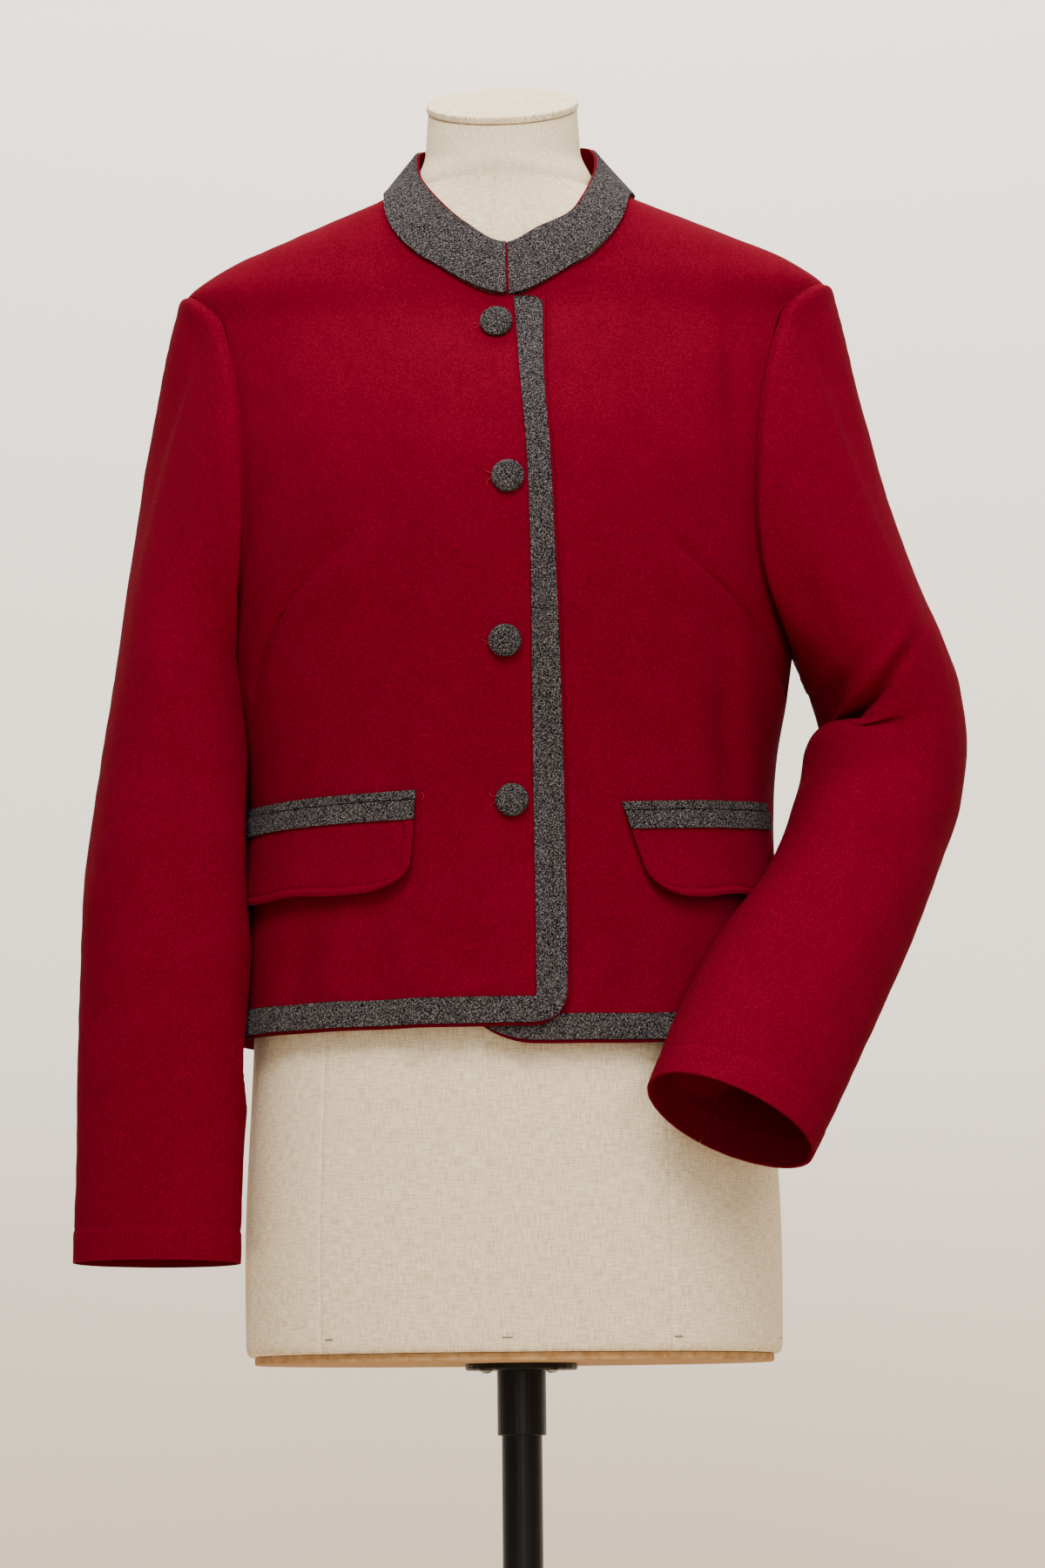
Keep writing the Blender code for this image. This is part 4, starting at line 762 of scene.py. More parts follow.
def wall(name, outside, inside, material):
    # two grids of points and a rounded rim between them, as one closed piece
    rows, columns = outside.shape[:2]
    outerIndex = np.arange(rows * columns).reshape(rows, columns)
    innerIndex = outerIndex + rows * columns
    # the rim runs once round the grid: its middle stands out a little, as a folded edge does
    ring = np.concatenate([outerIndex[:-1, 0], outerIndex[-1, :-1],
                           outerIndex[:0:-1, -1], outerIndex[0, :0:-1]])
    flatOut, flatIn = outside.reshape(-1, 3), inside.reshape(-1, 3)
    middle = (flatOut[ring] + flatIn[ring]) / 2
    along = unit(np.roll(middle, -1, axis=0) - np.roll(middle, 1, axis=0))
    through = unit(flatOut[ring] - flatIn[ring])
    outward = unit(np.cross(through, along))
    inwardPoint = np.concatenate([outside[:-1, 1], outside[-2, :-1], outside[:0:-1, -2], outside[1, :0:-1]])
    outward = outward * np.sign(np.sum(outward * (flatOut[ring] - inwardPoint), axis=-1, keepdims=True))
    thick = np.linalg.norm(flatOut[ring] - flatIn[ring], axis=-1, keepdims=True)
    rim = middle + outward * thick * 0.06
    rimIndex = np.arange(len(ring)) + 2 * rows * columns
    nextRing, nextRim = np.roll(ring, -1), np.roll(rimIndex, -1)
    upper = np.stack([ring, rimIndex, nextRim, nextRing], axis=-1)
    lower = np.stack([rimIndex, ring + rows * columns, nextRing + rows * columns, nextRim], axis=-1)
    # faces point outwards: the sign of the outer grid's normals against its wall tells which way
    a, b = outside[rows // 2, columns // 2], outside[rows // 2 + 1, columns // 2]
    c = outside[rows // 2, columns // 2 + 1]
    flip = np.dot(np.cross(b - a, c - a), a - inside[rows // 2, columns // 2]) < 0
    faces = np.concatenate([gridFaces(outerIndex, flip), gridFaces(innerIndex, not flip),
                            upper if flip else upper[:, ::-1], lower if flip else lower[:, ::-1]])
    points = np.concatenate([flatOut, flatIn, rim])
    return meshFrom(name, points, faces, material)


def turnedPiece(name, profile, material, centre=(0, 0, 0), sides=96, turnBy=None):
    # a profile of (radius, height) carried once round its axis; its ends lie on the axis or meet
    radius, height = np.array(profile, float).T
    angle = np.linspace(0, 2 * math.pi, sides, endpoint=False)[:, None]
    points = np.stack([radius * np.cos(angle), radius * np.sin(angle),
                       np.broadcast_to(height, (sides, len(radius)))], axis=-1)
    index = np.arange(sides * len(radius)).reshape(sides, -1)
    index = np.concatenate([index, index[:1]])
    onAxis = np.where(radius < 1e-9)[0]
    for k in onAxis:
        index[:, k] = index[0, k]
    faces = gridFaces(index, False)
    flat = points.reshape(-1, 3)
    if turnBy is not None:
        flat = flat @ np.array(turnBy).T
    flat = flat + np.array(centre)
    keep = np.array([len(set(face)) == 4 for face in faces.tolist()])
    quads = faces[keep]
    thin = faces[~keep]
    triangles = np.array([list(dict.fromkeys(face)) for face in thin.tolist()], np.int32).reshape(-1, 3)
    mesh = bpy.data.meshes.new(name)
    mesh.from_pydata(flat.tolist(), [], quads.tolist() + triangles.tolist())
    mesh.validate()
    mesh.materials.append(material)
    mesh.shade_smooth()
    piece = bpy.data.objects.new(name, mesh)
    bpy.context.scene.collection.objects.link(piece)
    return piece


def thread(name, lines, radius, material, sides=6):
    # fine tubes along drawn lines, joined in one piece
    points, faces, start = [], [], 0
    around = np.linspace(0, 2 * math.pi, sides, endpoint=False)
    for line in lines:
        line = np.array(line, float)
        if len(line) > 2:
            line = smooth(np.linspace(0, len(line) - 1, 5 * len(line)), np.arange(len(line)), line)
        ahead = unit(np.gradient(line, axis=0))
        side = unit(np.cross(ahead, np.array([0.31, 0.52, 0.79])))
        up = np.cross(ahead, side)
        thick = radius * np.ones(len(line))
        thick[0] = thick[-1] = radius * 0.3
        rings = (line[:, None] + thick[:, None, None] * (side[:, None] * np.cos(around)[:, None]
                                                        + up[:, None] * np.sin(around)[:, None]))
        index = np.arange(len(line) * sides).reshape(len(line), sides) + start
        index = np.concatenate([index, index[:, :1]], axis=1)
        faces += gridFaces(index, True).tolist()
        faces += [index[0, :-1].tolist(), index[-1, :-1][::-1].tolist()]
        points += rings.reshape(-1, 3).tolist()
        start += len(line) * sides
    mesh = bpy.data.meshes.new(name)
    mesh.from_pydata(points, [], faces)
    mesh.materials.append(material)
    mesh.shade_smooth()
    piece = bpy.data.objects.new(name, mesh)
    bpy.context.scene.collection.objects.link(piece)
    return piece


def clothArea(piece):
    # half of the closed wall's surface, which is the flat cut's area
    areas = np.zeros(len(piece.data.polygons))
    piece.data.polygons.foreach_get("area", areas)
    return areas.sum() / 2


pieces = {}


def settle(piece, node):
    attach(piece, "root")
    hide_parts(node)
    pieces[node] = piece
    return piece


# jacket panels

panelGrid = {"frontRows": 210, "frontColumns": 100, "backRows": 210, "backColumns": 160}


def makeFront(side):
    angle, height = frontChart(side)
    rows, columns = spread(panelGrid["frontRows"]), spread(panelGrid["frontColumns"], 0.01)
    chart = refine(np.stack([angle, height], axis=-1), rows, columns)
    angle, height = chart[..., 0], chart[..., 1]
    x = body(angle, height)[..., 0]
    roundX, roundHeight = roundCorner(side, x, height)
    moved = (roundX != x) | (roundHeight != height)
    angle, height = np.where(moved, angleAt(roundX, roundHeight), angle), roundHeight
    outside = onPanel(side, angle, height, 0.0)
    inside = onPanel(side, angle, height, -cloth["wool"])
    settle(wall(side + "Front", outside, inside, redWool), side + "_front")


def makeBack():
    angle, height = backChart()
    chart = refine(np.stack([angle, height], axis=-1), spread(panelGrid["backRows"]),
                   spread(panelGrid["backColumns"], 0.006))
    angle, height = chart[..., 0], chart[..., 1]
    x = body(angle, height)[..., 0]
    out = relief("back", x, height) * ramp(np.abs(x), 0.205, 0.150)
    outside, inside = onBody(angle, height, out), onBody(angle, height, out - cloth["wool"])
    settle(wall("backPanel", outside, inside, redWool), "back")


sleeveGrid = {"rows": 230, "upperColumns": 96, "underColumns": 42}


def makeSleeve(side):
    front, back = armTurns()
    seamFront, seamBack = front[7], back[6]
    half = math.degrees(cloth["gap"] / 2 / 0.045)
    coarseRuns = np.concatenate([np.linspace(0, 1, 8), np.linspace(1, 2, 15)[1:]])
    stations = sleeves[side][:, :3]
    length = np.linalg.norm(np.diff(stations, axis=0), axis=1).sum()
    spans = (("Upper", seamBack + half, seamFront - half, sleeveGrid["upperColumns"]),
             ("Under", seamFront + half, seamBack + 360 - half, sleeveGrid["underColumns"]))
    for part, first, last, columns in spans:
        shares = spread(sleeveGrid["rows"], 0.003)
        runs = np.where(shares < 0.32, shares / 0.32, 1 + (shares - 0.32) / 0.68)
        turns = first + (last - first) * spread(columns, 0.01)
        turn, run = np.meshgrid(turns, runs)
        coarseTurn, coarseRun = np.meshgrid(np.linspace(first, last, 15), coarseRuns)
        normals = sleeveNormals(side, coarseTurn, coarseRun)
        rowShares = np.interp(runs, coarseRuns, np.arange(len(coarseRuns))) / (len(coarseRuns) - 1)
        normals = unit(refine(normals, rowShares, (turns - first) / (last - first)))
        out = sleeveRelief(side, turn, run, length)[..., None]
        base = seamedIn(turn, run, sleeveOutside(side, turn, run))
        outside, inside = base + normals * out, base + normals * (out - cloth["wool"])
        tuck = seamTuck(turn[:1])
        outside = np.concatenate([outside[:1] + tuck, outside[:1] + tuck * 0.4, outside])
        inside = np.concatenate([inside[:1] + tuck, inside[:1] + tuck * 0.4, inside])
        flipX = np.array([sign[side], 1, 1])
        outside, inside = outside * flipX, inside * flipX
        piece = wall(side + part + "Sleeve", outside, inside, redWool)
        settle(piece, side + "_" + part.lower() + "_sleeve")


makeFront("right")
makeFront("left")
makeBack()
makeSleeve("right")
makeSleeve("left")
print("panels and sleeves made")


# collar

def collarPoint(turn, share, out):
    angle, height = neckline(turn)
    lift = np.where(turn > 270, frontLift("right", angle, height), 0.0)
    low = onBody(angle, height, lift + cloth["laid"])
    high = smooth(np.mod(turn + 180, 360) - 180, collar["turn"], collar["top"])
    high[..., :2] *= (1 + lift / 0.08)[..., None]
    point = low + (high - low) * share[..., None]
    rise = unit(high - low)
    level = unit(point * np.array([1.0, 1.0, 0.0]))
    outWay = unit(level - rise * np.sum(level * rise, axis=-1, keepdims=True))
    bow = (0.9 * mm * np.sin(np.clip(share, 0, 1) * math.pi)
           + 0.35 * mm * wander(turn / 500, share * 0.04, 0.05, 31))
    return point + outWay * (out + bow)[..., None]


def makeCollar():
    # the felt stops short of the red inner side all round, so a red edge shows
    first = math.degrees(math.asin((collar["meeting"] - collar["centre"]) / collar["halfWidth"]))
    gap = math.degrees(cloth["gap"] / collar["halfWidth"])
    turns = first + gap + (360 - 2 * gap) * spread(300, 0.002)
    turn, share = np.meshgrid(turns, spread(26, 0.02))
    proud = share * (1 + collar["proud"] / 0.038)
    zero = np.zeros(turn.shape)
    facing = wall("collarFacing", collarPoint(turn, proud, zero + collar["facing"]),
                  collarPoint(turn, proud, zero), redWool)
    settle(facing, "collar_facing")
    inner = collar["facing"] + cloth["gap"]
    short = math.degrees(0.7 * mm / collar["halfWidth"])
    turns = first + short + (360 - 2 * short) * spread(300, 0.002)
    turn, share = np.meshgrid(turns, spread(26, 0.02))
    band = wall("collarBand", collarPoint(turn, share, zero + inner + cloth["felt"]),
                collarPoint(turn, share, zero + inner), greyFelt)
    settle(band, "collar")


makeCollar()


def makePiping():
    # red edge of the two collar ends, turned out between them
    first = math.degrees(math.asin((collar["meeting"] - collar["centre"]) / collar["halfWidth"]))
    shares = np.linspace(0.02, 1.0, 12)
    out = np.full(12, collar["facing"] + cloth["gap"] + cloth["felt"] - 0.25 * mm)
    lines = []
    for way in (-1, 1):
        turn = np.full(12, first + way * math.degrees(0.42 * mm / collar["halfWidth"]))
        lines.append(collarPoint(np.mod(turn, 360), shares, out))
    piping = thread("collarPiping", lines, 0.38 * mm, redWool)
    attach(piping, "root")


makePiping()


# felt trim along the front edge and the hems

trim = {"width": 0.0190, "hem": 0.0162, "margin": 2.0 * mm, "top": {"right": 1.3497, "left": 0.9355}}


def trimChart(side):
    low = cloth["frontHem"][side]
    cornerTop = low + max(cloth["corner"][side], trim["width"] + trim["margin"]) + 2 * mm
    down = np.linspace(trim["top"][side], cornerTop, 150 if side == "right" else 8)[:-1]
    edge = -pastMiddle(side, low) + trim["margin"]
    if side == "right":
        inner = -smooth(down, cloth["edgeHeight"], cloth["trim"])
    else:
        inner = -pastMiddle(side, down) + trim["margin"] + trim["width"]
    width = inner[-1] - edge if side == "right" else trim["width"]
    bend, along = np.linspace(0, 1, 24), cornerTop - low
    lowest, upper = low + trim["margin"], low + trim["margin"] + trim["hem"]
    outerX = np.concatenate([-pastMiddle(side, down) + trim["margin"], np.full(24, edge),
                             edge + (along - trim["margin"]) * bend[1:]])
    outerZ = np.concatenate([down, cornerTop + (lowest - cornerTop) * bend, np.full(23, lowest)])
    innerX = np.concatenate([inner, np.full(24, edge + width),
                             edge + width + (along - trim["margin"] - width) * bend[1:]])
    innerZ = np.concatenate([down, cornerTop + (upper - cornerTop) * bend, np.full(23, upper)])
    angles, heights = [], []
    for share in spread(12, 0.04):
        x, height = roundCorner(side, outerX * (1 - share) + innerX * share,
                                outerZ * (1 - share) + innerZ * share)
        angle = angleAt(x, height)
        feet = np.linspace(angle[-1], 89.8, 110)[1:]
        angles.append(np.concatenate([angle, feet]))
        heights.append(np.concatenate([height, hemHeight(side, feet) + trim["margin"] + trim["hem"] * share]))
    angle, height = np.stack(angles, axis=1), np.stack(heights, axis=1)
    if side == "right":
        # its upper end is cut round, more at the outer corner
        share = np.linspace(0, 1, height.shape[1])
        drop = 5.5 * mm * (1 - ramp(share, -0.1, 0.45)) + 2.0 * mm * ramp(share, 0.7, 1.1)
        height = height - drop * ramp(height, trim["top"][side] - 0.016, trim["top"][side])
    return angle, height


def makeTrims():
    for side in ("right", "left"):
        angle, height = trimChart(side)
        piece = wall(side + "Trim", onPanel(side, angle, height, cloth["laid"] + cloth["felt"]),
                     onPanel(side, angle, height, cloth["laid"]), greyFelt)
        settle(piece, side + "_trim")
    angle = np.repeat(np.linspace(90.2, 269.8, 220)[:, None], 16, axis=1)
    height = hemHeight("back", angle) + trim["margin"] + trim["hem"] * spread(12, 0.04)
    x = body(angle, height)[..., 0]
    out = cloth["laid"] + relief("back", x, height) * ramp(np.abs(x), 0.205, 0.150)
    piece = wall("backTrim", onBody(angle, height, out + cloth["felt"]), onBody(angle, height, out), greyFelt)
    settle(piece, "back_trim")


makeTrims()


# pockets

pockets = {
    "right": (0.051, 1.0300, 75.0, 1.0270, 0.055, 0.9660, 77.0, 0.9640),
    "left": (0.077, 1.0215, 73.0, 1.0275, 0.096, 0.9610, 77.0, 0.9680),
    "weltShare": 0.085, "stripShare": 0.20, "weltWall": 2.4 * mm, "stripWall": 1.2 * mm,
    "flapWall": 2.6 * mm, "corner": 0.30, "flare": 4.5 * mm, "long": 0.125, "high": 0.060, "rim": 0.9 * mm,
}


def pocketChart(side, top, low, rows, rounded, columns=90):
    innerTop, innerTopZ, outerTop, outerTopZ, innerLow, innerLowZ, outerLow, outerLowZ = pockets[side]
    innerTop, innerLow = angleAt(innerTop, innerTopZ), angleAt(innerLow, innerLowZ)
    across = spread(columns, 0.01)[None, :]
    down = (top + (low - top) * spread(rows, 0.02))[:, None]
    if rounded:
        reach, corner = pockets["corner"] * 0.5, pockets["corner"]
        for middle, way in ((reach, -1), (1 - reach, 1)):
            over = np.clip((across - middle) * way / reach, 0, 1)
            under = np.clip((down - (1 - corner)) / corner, 0, 1)
            inside = (over > 0) & (under > 0)
            newAcross = middle + way * reach * over * np.sqrt(1 - under ** 2 / 2)
            newDown = 1 - corner + corner * under * np.sqrt(1 - over ** 2 / 2)
            across, down = np.where(inside, newAcross, across), np.where(inside, newDown, down)
    topAngle, lowAngle = innerTop + (outerTop - innerTop) * across, innerLow + (outerLow - innerLow) * across
    topZ, lowZ = innerTopZ + (outerTopZ - innerTopZ) * across, innerLowZ + (outerLowZ - innerLowZ) * across
    down = np.broadcast_to(down, np.broadcast(across, down).shape)
    return topAngle + (lowAngle - topAngle) * down, topZ + (lowZ - topZ) * down, down


def flapRim(rows, columns):
    # the turned edge stands up round three sides, with the line of its stitches just inside
    down, across = spread(rows, 0.02)[:, None], spread(columns, 0.01)[None, :]
    edge = np.minimum((1 - down) * pockets["high"], np.minimum(across, 1 - across) * pockets["long"])
    swell = pockets["rim"] * np.exp(-((edge - 2.4 * mm) / (1.7 * mm)) ** 2)
    line = -0.55 * mm * np.exp(-((edge - 5.4 * mm) / (0.9 * mm)) ** 2)
    wave = 0.9 * mm * np.sin(across * 15.0 + 0.8) * down ** 2
    return swell + line, wave


def makePockets():
    for side in ("right", "left"):
        start = pockets["weltShare"] + 0.012
        angle, height, _ = pocketChart(side, 0.0, pockets["weltShare"], 8, False)
        piece = wall(side + "Welt", onPanel(side, angle, height, cloth["laid"] + pockets["weltWall"]),
                     onPanel(side, angle, height, cloth["laid"]), greyFelt)
        settle(piece, side + "_welt")
        angle, height, down = pocketChart(side, start, 1.0, 90, True, 150)
        raised, wave = flapRim(90, 150)
        flare = cloth["laid"] + pockets["flare"] * down ** 2 + np.maximum(wave, 0)
        height = height + 0.9 * wave
        piece = wall(side + "Flap", onPanel(side, angle, height, flare + pockets["flapWall"] + raised),
                     onPanel(side, angle, height, flare), redWool)
        settle(piece, side + "_flap")
        stripEnd = pockets["weltShare"] + pockets["stripShare"]
        angle, height, down = pocketChart(side, start, stripEnd, 14, False)
        under = cloth["laid"] + pockets["flare"] * down ** 2 + pockets["flapWall"] + cloth["gap"]
        piece = wall(side + "Strip", onPanel(side, angle, height, under + pockets["stripWall"]),
                     onPanel(side, angle, height, under), greyFelt)
        settle(piece, side + "_flap_strip")


makePockets()
print("collar, trim and pockets made")


# covered buttons

buttons = {"radius": 0.0104, "rise": 5.2 * mm, "droop": 0.8,
           "places": [(0.0000, 1.3300), (0.0088, 1.2255), (0.0060, 1.1225), (0.0090, 1.0225)]}


def makeButtons():
    radius, rise = buttons["radius"], buttons["rise"]
    t = np.linspace(0, math.pi / 2, 14)
    dome = [(radius * 0.995 * math.sin(a), rise * 0.40 + rise * 0.60 * math.cos(a)) for a in t[::-1]]
    profile = [(0, 0), (radius * 0.80, 0), (radius * 0.93, rise * 0.10), (radius, rise * 0.26)] + dome
    profile[-1] = (0, rise)
    for number, (x, height) in enumerate(buttons["places"], start=1):
        angle = np.array(angleAt(x, height))
        lift = frontLift("right", angle, np.array(height)) + relief("right", np.array(x), np.array(height))
        skin = bodyNormal(angle, np.array(height))
        # it hangs on its thread and turns to face forwards
        normal = unit(skin + buttons["droop"] * np.array([0.0, -1.0, 0.0]))
        leaning = math.sqrt(1 - min(1.0, float(np.dot(skin, normal))) ** 2)
        spot = onBody(angle, np.array(height), lift + 0.45 * mm + radius * 0.85 * leaning)
        side = unit(np.cross(np.array([0.0, 0.0, 1.0]), normal))
        basis = np.stack([side, np.cross(normal, side), normal], axis=-1)
        piece = turnedPiece("button" + str(number), profile, greyFelt, spot, 64, basis)
        settle(piece, "button_" + str(number))


makeButtons()


# dress form

form = {
    "height": [0.679, 0.870, 0.940, 1.020, 1.141, 1.190, 1.250, 1.300, 1.345, 1.371, 1.391, 1.404,
               1.418, 1.431, 1.443],
    "inset": [0.0120, 0.0120, 0.0110, 0.0100, 0.0070, 0.0060, 0.0060, 0.0050, 0.0050, 0.0050, 0.0032,
              0.0028, 0.0030, 0.0044, 0.0054],
    "stump": [0, 0, 0, 0, 0.002, 0.006, 0.014, 0.020, 0.020, 0.016, 0.006, 0, 0, 0, 0],
    "bottom": 0.679, "neckStart": 1.441, "neckRadius": 0.0525, "neckTopRadius": 0.0490,
    "neckTop": (-0.001, 0.002, 1.4935), "tilt": math.radians(25), "capRadius": 0.0500, "capWall": 0.0050,
    "seams": [-39.0, -2.6, 34.5, 82.0, 141.0, 180.0, -141.0, -82.0],
}


def formRings(turns, heights):
    loops = []
    for height in heights:
        inset = smooth(height, form["height"], form["inset"])
        stump = smooth(height, form["height"], form["stump"])
        atSide = np.abs(np.sin(np.radians(turns))) ** 10
        # each seam is a groove 0.7 mm deep; one degree round the form is about 2.8 mm
        seamDip = np.zeros(len(turns))
        for seam in form["seams"]:
            off = np.mod(turns - seam + 180, 360) - 180
            seamDip = seamDip + 0.0007 * np.exp(-(off * 0.0028 / 0.0008) ** 2)
        loops.append(onBody(turns, np.full(len(turns), height), -(inset + stump * atSide) - seamDip))
    return loops


def makeForm():
    # a few more columns at each seam of the form
    beside = np.array([-0.5, -0.25, 0, 0.25, 0.5])
    turns = np.unique(np.concatenate([np.linspace(-180, 180, 241)[:-1]]
                                     + [seam + beside for seam in form["seams"]]))
    turns = np.where(turns >= 180, turns - 360, turns)
    turns = np.unique(np.round(turns, 3))
    heights = np.concatenate([np.linspace(form["bottom"] + 0.006, 1.371, 120),
                              np.linspace(1.371, form["neckStart"], 30)[1:]])
    loops = formRings(turns, heights)
    foot = [loops[0] * np.array([k, k, 1.0]) for k in (0.985, 0.9955)]
    foot[0][:, 2], foot[1][:, 2] = form["bottom"], form["bottom"] + 0.0018
    around, top = np.radians(turns), loops[-1]
    for row in range(1, 31):
        share = row / 30
        radius = form["neckRadius"] + (form["neckTopRadius"] - form["neckRadius"]) * share
        x = form["neckTop"][0] + radius * np.sin(around)
        y = form["neckTop"][1] - radius * np.cos(around) * (1 - 0.09 * share)
        topZ = form["neckTop"][2] + math.tan(form["tilt"]) * (y - form["neckTop"][1])
        z = top[:, 2] + (topZ - top[:, 2]) * share
        blend = ramp(share, 0, 0.5)
        loops.append(np.stack([top[:, 0] + (x - top[:, 0]) * blend,
                               top[:, 1] + (y - top[:, 1]) * blend, z], axis=-1))
    loops = np.array(foot + loops)
    rows, count = loops.shape[:2]
    index = np.arange(rows * count).reshape(rows, count)
    index = np.concatenate([index, index[:, :1]], axis=1)
    points = loops.reshape(-1, 3)
    # the ends are closed to a middle point each
    points = np.concatenate([points, loops[0].mean(axis=0)[None], loops[-1].mean(axis=0)[None]])
    uvAround = turns / 360 * 0.98
    uvUp = loops[:, :, 2].copy()
    uv = np.stack([np.broadcast_to(uvAround, (rows, count)), uvUp], axis=-1).reshape(-1, 2)
    uv = np.concatenate([uv, np.zeros((2, 2))])
    quads = gridFaces(index, True)
    lowFan = [(rows * count, index[0, k + 1], index[0, k]) for k in range(count)]
    highFan = [(rows * count + 1, index[-1, k], index[-1, k + 1]) for k in range(count)]
    mesh = bpy.data.meshes.new("formBody")
    mesh.from_pydata(points.tolist(), [], quads.tolist() + lowFan + highFan)
    layer = mesh.uv_layers.new(name="clothUv")
    order = np.zeros(len(mesh.loops), np.int32)
    mesh.loops.foreach_get("vertex_index", order)
    layer.data.foreach_set("uv", np.ascontiguousarray(uv[order], np.float32).ravel())
    mesh.materials.append(linenCloth)
    mesh.shade_smooth()
    piece = bpy.data.objects.new("formBody", mesh)
    bpy.context.scene.collection.objects.link(piece)
    settle(piece, "form_body")
    return loops[0]


def makeCap():
    radius, thick = form["capRadius"], form["capWall"]
    edge = [(radius - 1.4 * mm + 1.4 * mm * math.cos(a), thick - 1.4 * mm + 1.4 * mm * math.sin(a))
            for a in np.linspace(0, math.pi / 2, 7)]
    lowEdge = [(radius - 1.4 * mm + 1.4 * mm * math.cos(a), 1.4 * mm + 1.4 * mm * math.sin(a))
               for a in np.linspace(-math.pi / 2, 0, 7)]
    crown = [(radius * 0.6, thick + 0.25 * mm), (0, thick + 0.4 * mm)]
    profile = [(0, 0), (radius * 0.5, 0)] + lowEdge + edge + crown
    tilt = form["tilt"]
    turnBy = Matrix.Rotation(tilt, 3, "X")
    spot = np.array(form["neckTop"]) + 0.5 * mm * np.array([0, -math.sin(tilt), math.cos(tilt)])
    piece = turnedPiece("neckCap", profile, linenCloth, spot, 96, [list(row) for row in turnBy])
    mesh = piece.data
    layer = mesh.uv_layers.new(name="clothUv")
    order = np.zeros(len(mesh.loops), np.int32)
    mesh.loops.foreach_get("vertex_index", order)
    co = np.zeros(len(mesh.vertices) * 3)
    mesh.vertices.foreach_get("co", co)
    layer.data.foreach_set("uv", np.ascontiguousarray(co.reshape(-1, 3)[order][:, :2], np.float32).ravel())
    settle(piece, "neck_cap")


def makeBoard(foot):
    plate = foot * np.array([1 - 3 * mm / 0.17, 1 - 3 * mm / 0.11, 1.0])
    high = form["bottom"] - cloth["gap"]
    low = high - 5 * mm
    loops = []
    for shrink, z in ((0.004, low), (0.0, low + 0.8 * mm), (0.0, high - 0.4 * mm), (0.002, high)):
        ring = plate * np.array([1 - shrink, 1 - shrink, 1.0])
        ring[:, 2] = z
        loops.append(ring)
    loops = np.array(loops)
    rows, count = loops.shape[:2]
    index = np.arange(rows * count).reshape(rows, count)
    wrapped = np.concatenate([index, index[:, :1]], axis=1)
    mesh = bpy.data.meshes.new("bottomBoard")
    mesh.from_pydata(loops.reshape(-1, 3).tolist(), [],
                     gridFaces(wrapped, True).tolist() + [index[0][::-1].tolist(), index[-1].tolist()])
    mesh.materials.append(fibreBoard)
    piece = bpy.data.objects.new("bottomBoard", mesh)
    bpy.context.scene.collection.objects.link(piece)
    settle(piece, "bottom_board")


makeBoard(makeForm())
makeCap()
print("dress form made")


# threads, staples and screws

small = {"thread": 0.22 * mm, "staple": 0.35 * mm, "stapleTurns": [-36.5, 0.9, 36.0, 83.0],
         "stapleHeight": 0.6876, "stapleWide": 5.0 * mm, "screws": [(-0.0165, -0.0240), (0.0255, -0.0240)],
         "screwRadius": 4.0 * mm, "flangeLow": 0.6694}


def frontSpot(x, height, out):
    angle, height = np.array(angleAt(x, height)), np.array(height)
    lift = frontLift("right", angle, height) + relief("right", np.array(x), height)
    return onBody(angle, height, lift + out)


def makeSmallThings():
    lines = []
    for number, (x, height) in enumerate(buttons["places"]):
        # ends of the sewing thread curl out to the right of each button, seen by the wearer
        rise = 0.0015 * (1 if number % 2 else -1)
        lines.append([frontSpot(x - 0.0070, height + 0.001, 0.5 * mm),
                      frontSpot(x - 0.0118, height + 0.001 + rise, 1.2 * mm),
                      frontSpot(x - 0.0148, height + 0.003 + rise, 0.5 * mm)])
        lines.append([frontSpot(x - 0.0070, height - 0.001, 0.5 * mm),
                      frontSpot(x - 0.0122, height - 0.002, 0.9 * mm),
                      frontSpot(x - 0.0135, height - 0.0045 - rise, 0.4 * mm)])
    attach(thread("buttonThreads", lines, small["thread"], redThread), "root")
    loose = [[frontSpot(-0.0478, 1.0290, 0.4 * mm), frontSpot(-0.0462, 1.0262, 1.0 * mm),
             frontSpot(-0.0472, 1.0232, 0.4 * mm)]]
    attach(thread("pocketThread", loose, small["thread"], redThread), "root")
    staples = []
    for turn in small["stapleTurns"]:
        half = math.degrees(small["stapleWide"] / 2 / 0.15)
        turns = turn + np.array([-half, -half * 0.9, 0.0, half * 0.9, half])
        row = formRings(turns, [small["stapleHeight"]])[0]
        out = np.array([-0.4, 0.35, 0.35, 0.35, -0.4])[:, None] * mm
        staples.append(row + out * unit(row * np.array([1.0, 1.0, 0.0])))
    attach(thread("formStaples", staples, small["staple"], stapleSteel), "root")
    radius = small["screwRadius"]
    head = [(0, -0.6 * radius), (0.5 * radius, -0.56 * radius), (0.88 * radius, -0.3 * radius),
            (radius, 0), (0, 0)]
    for number, (x, y) in enumerate(small["screws"], start=1):
        centre = (x, y, small["flangeLow"])
        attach(turnedPiece("flangeScrew" + str(number), head, screwSteel, centre, 32), "root")


makeSmallThings()
print("threads, staples and screws made")


# stand: the CAD solids are kept and get their finish

for node in ("flange", "socket", "pole", "base"):
    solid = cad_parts[node]
    solid.data.materials.clear()
    solid.data.materials.append(blackEnamel)


# cuts of the cloth pieces: flat width and length of each rectangle that the piece is cut from, its flat
# area in square metres, how it is held and what it lies on

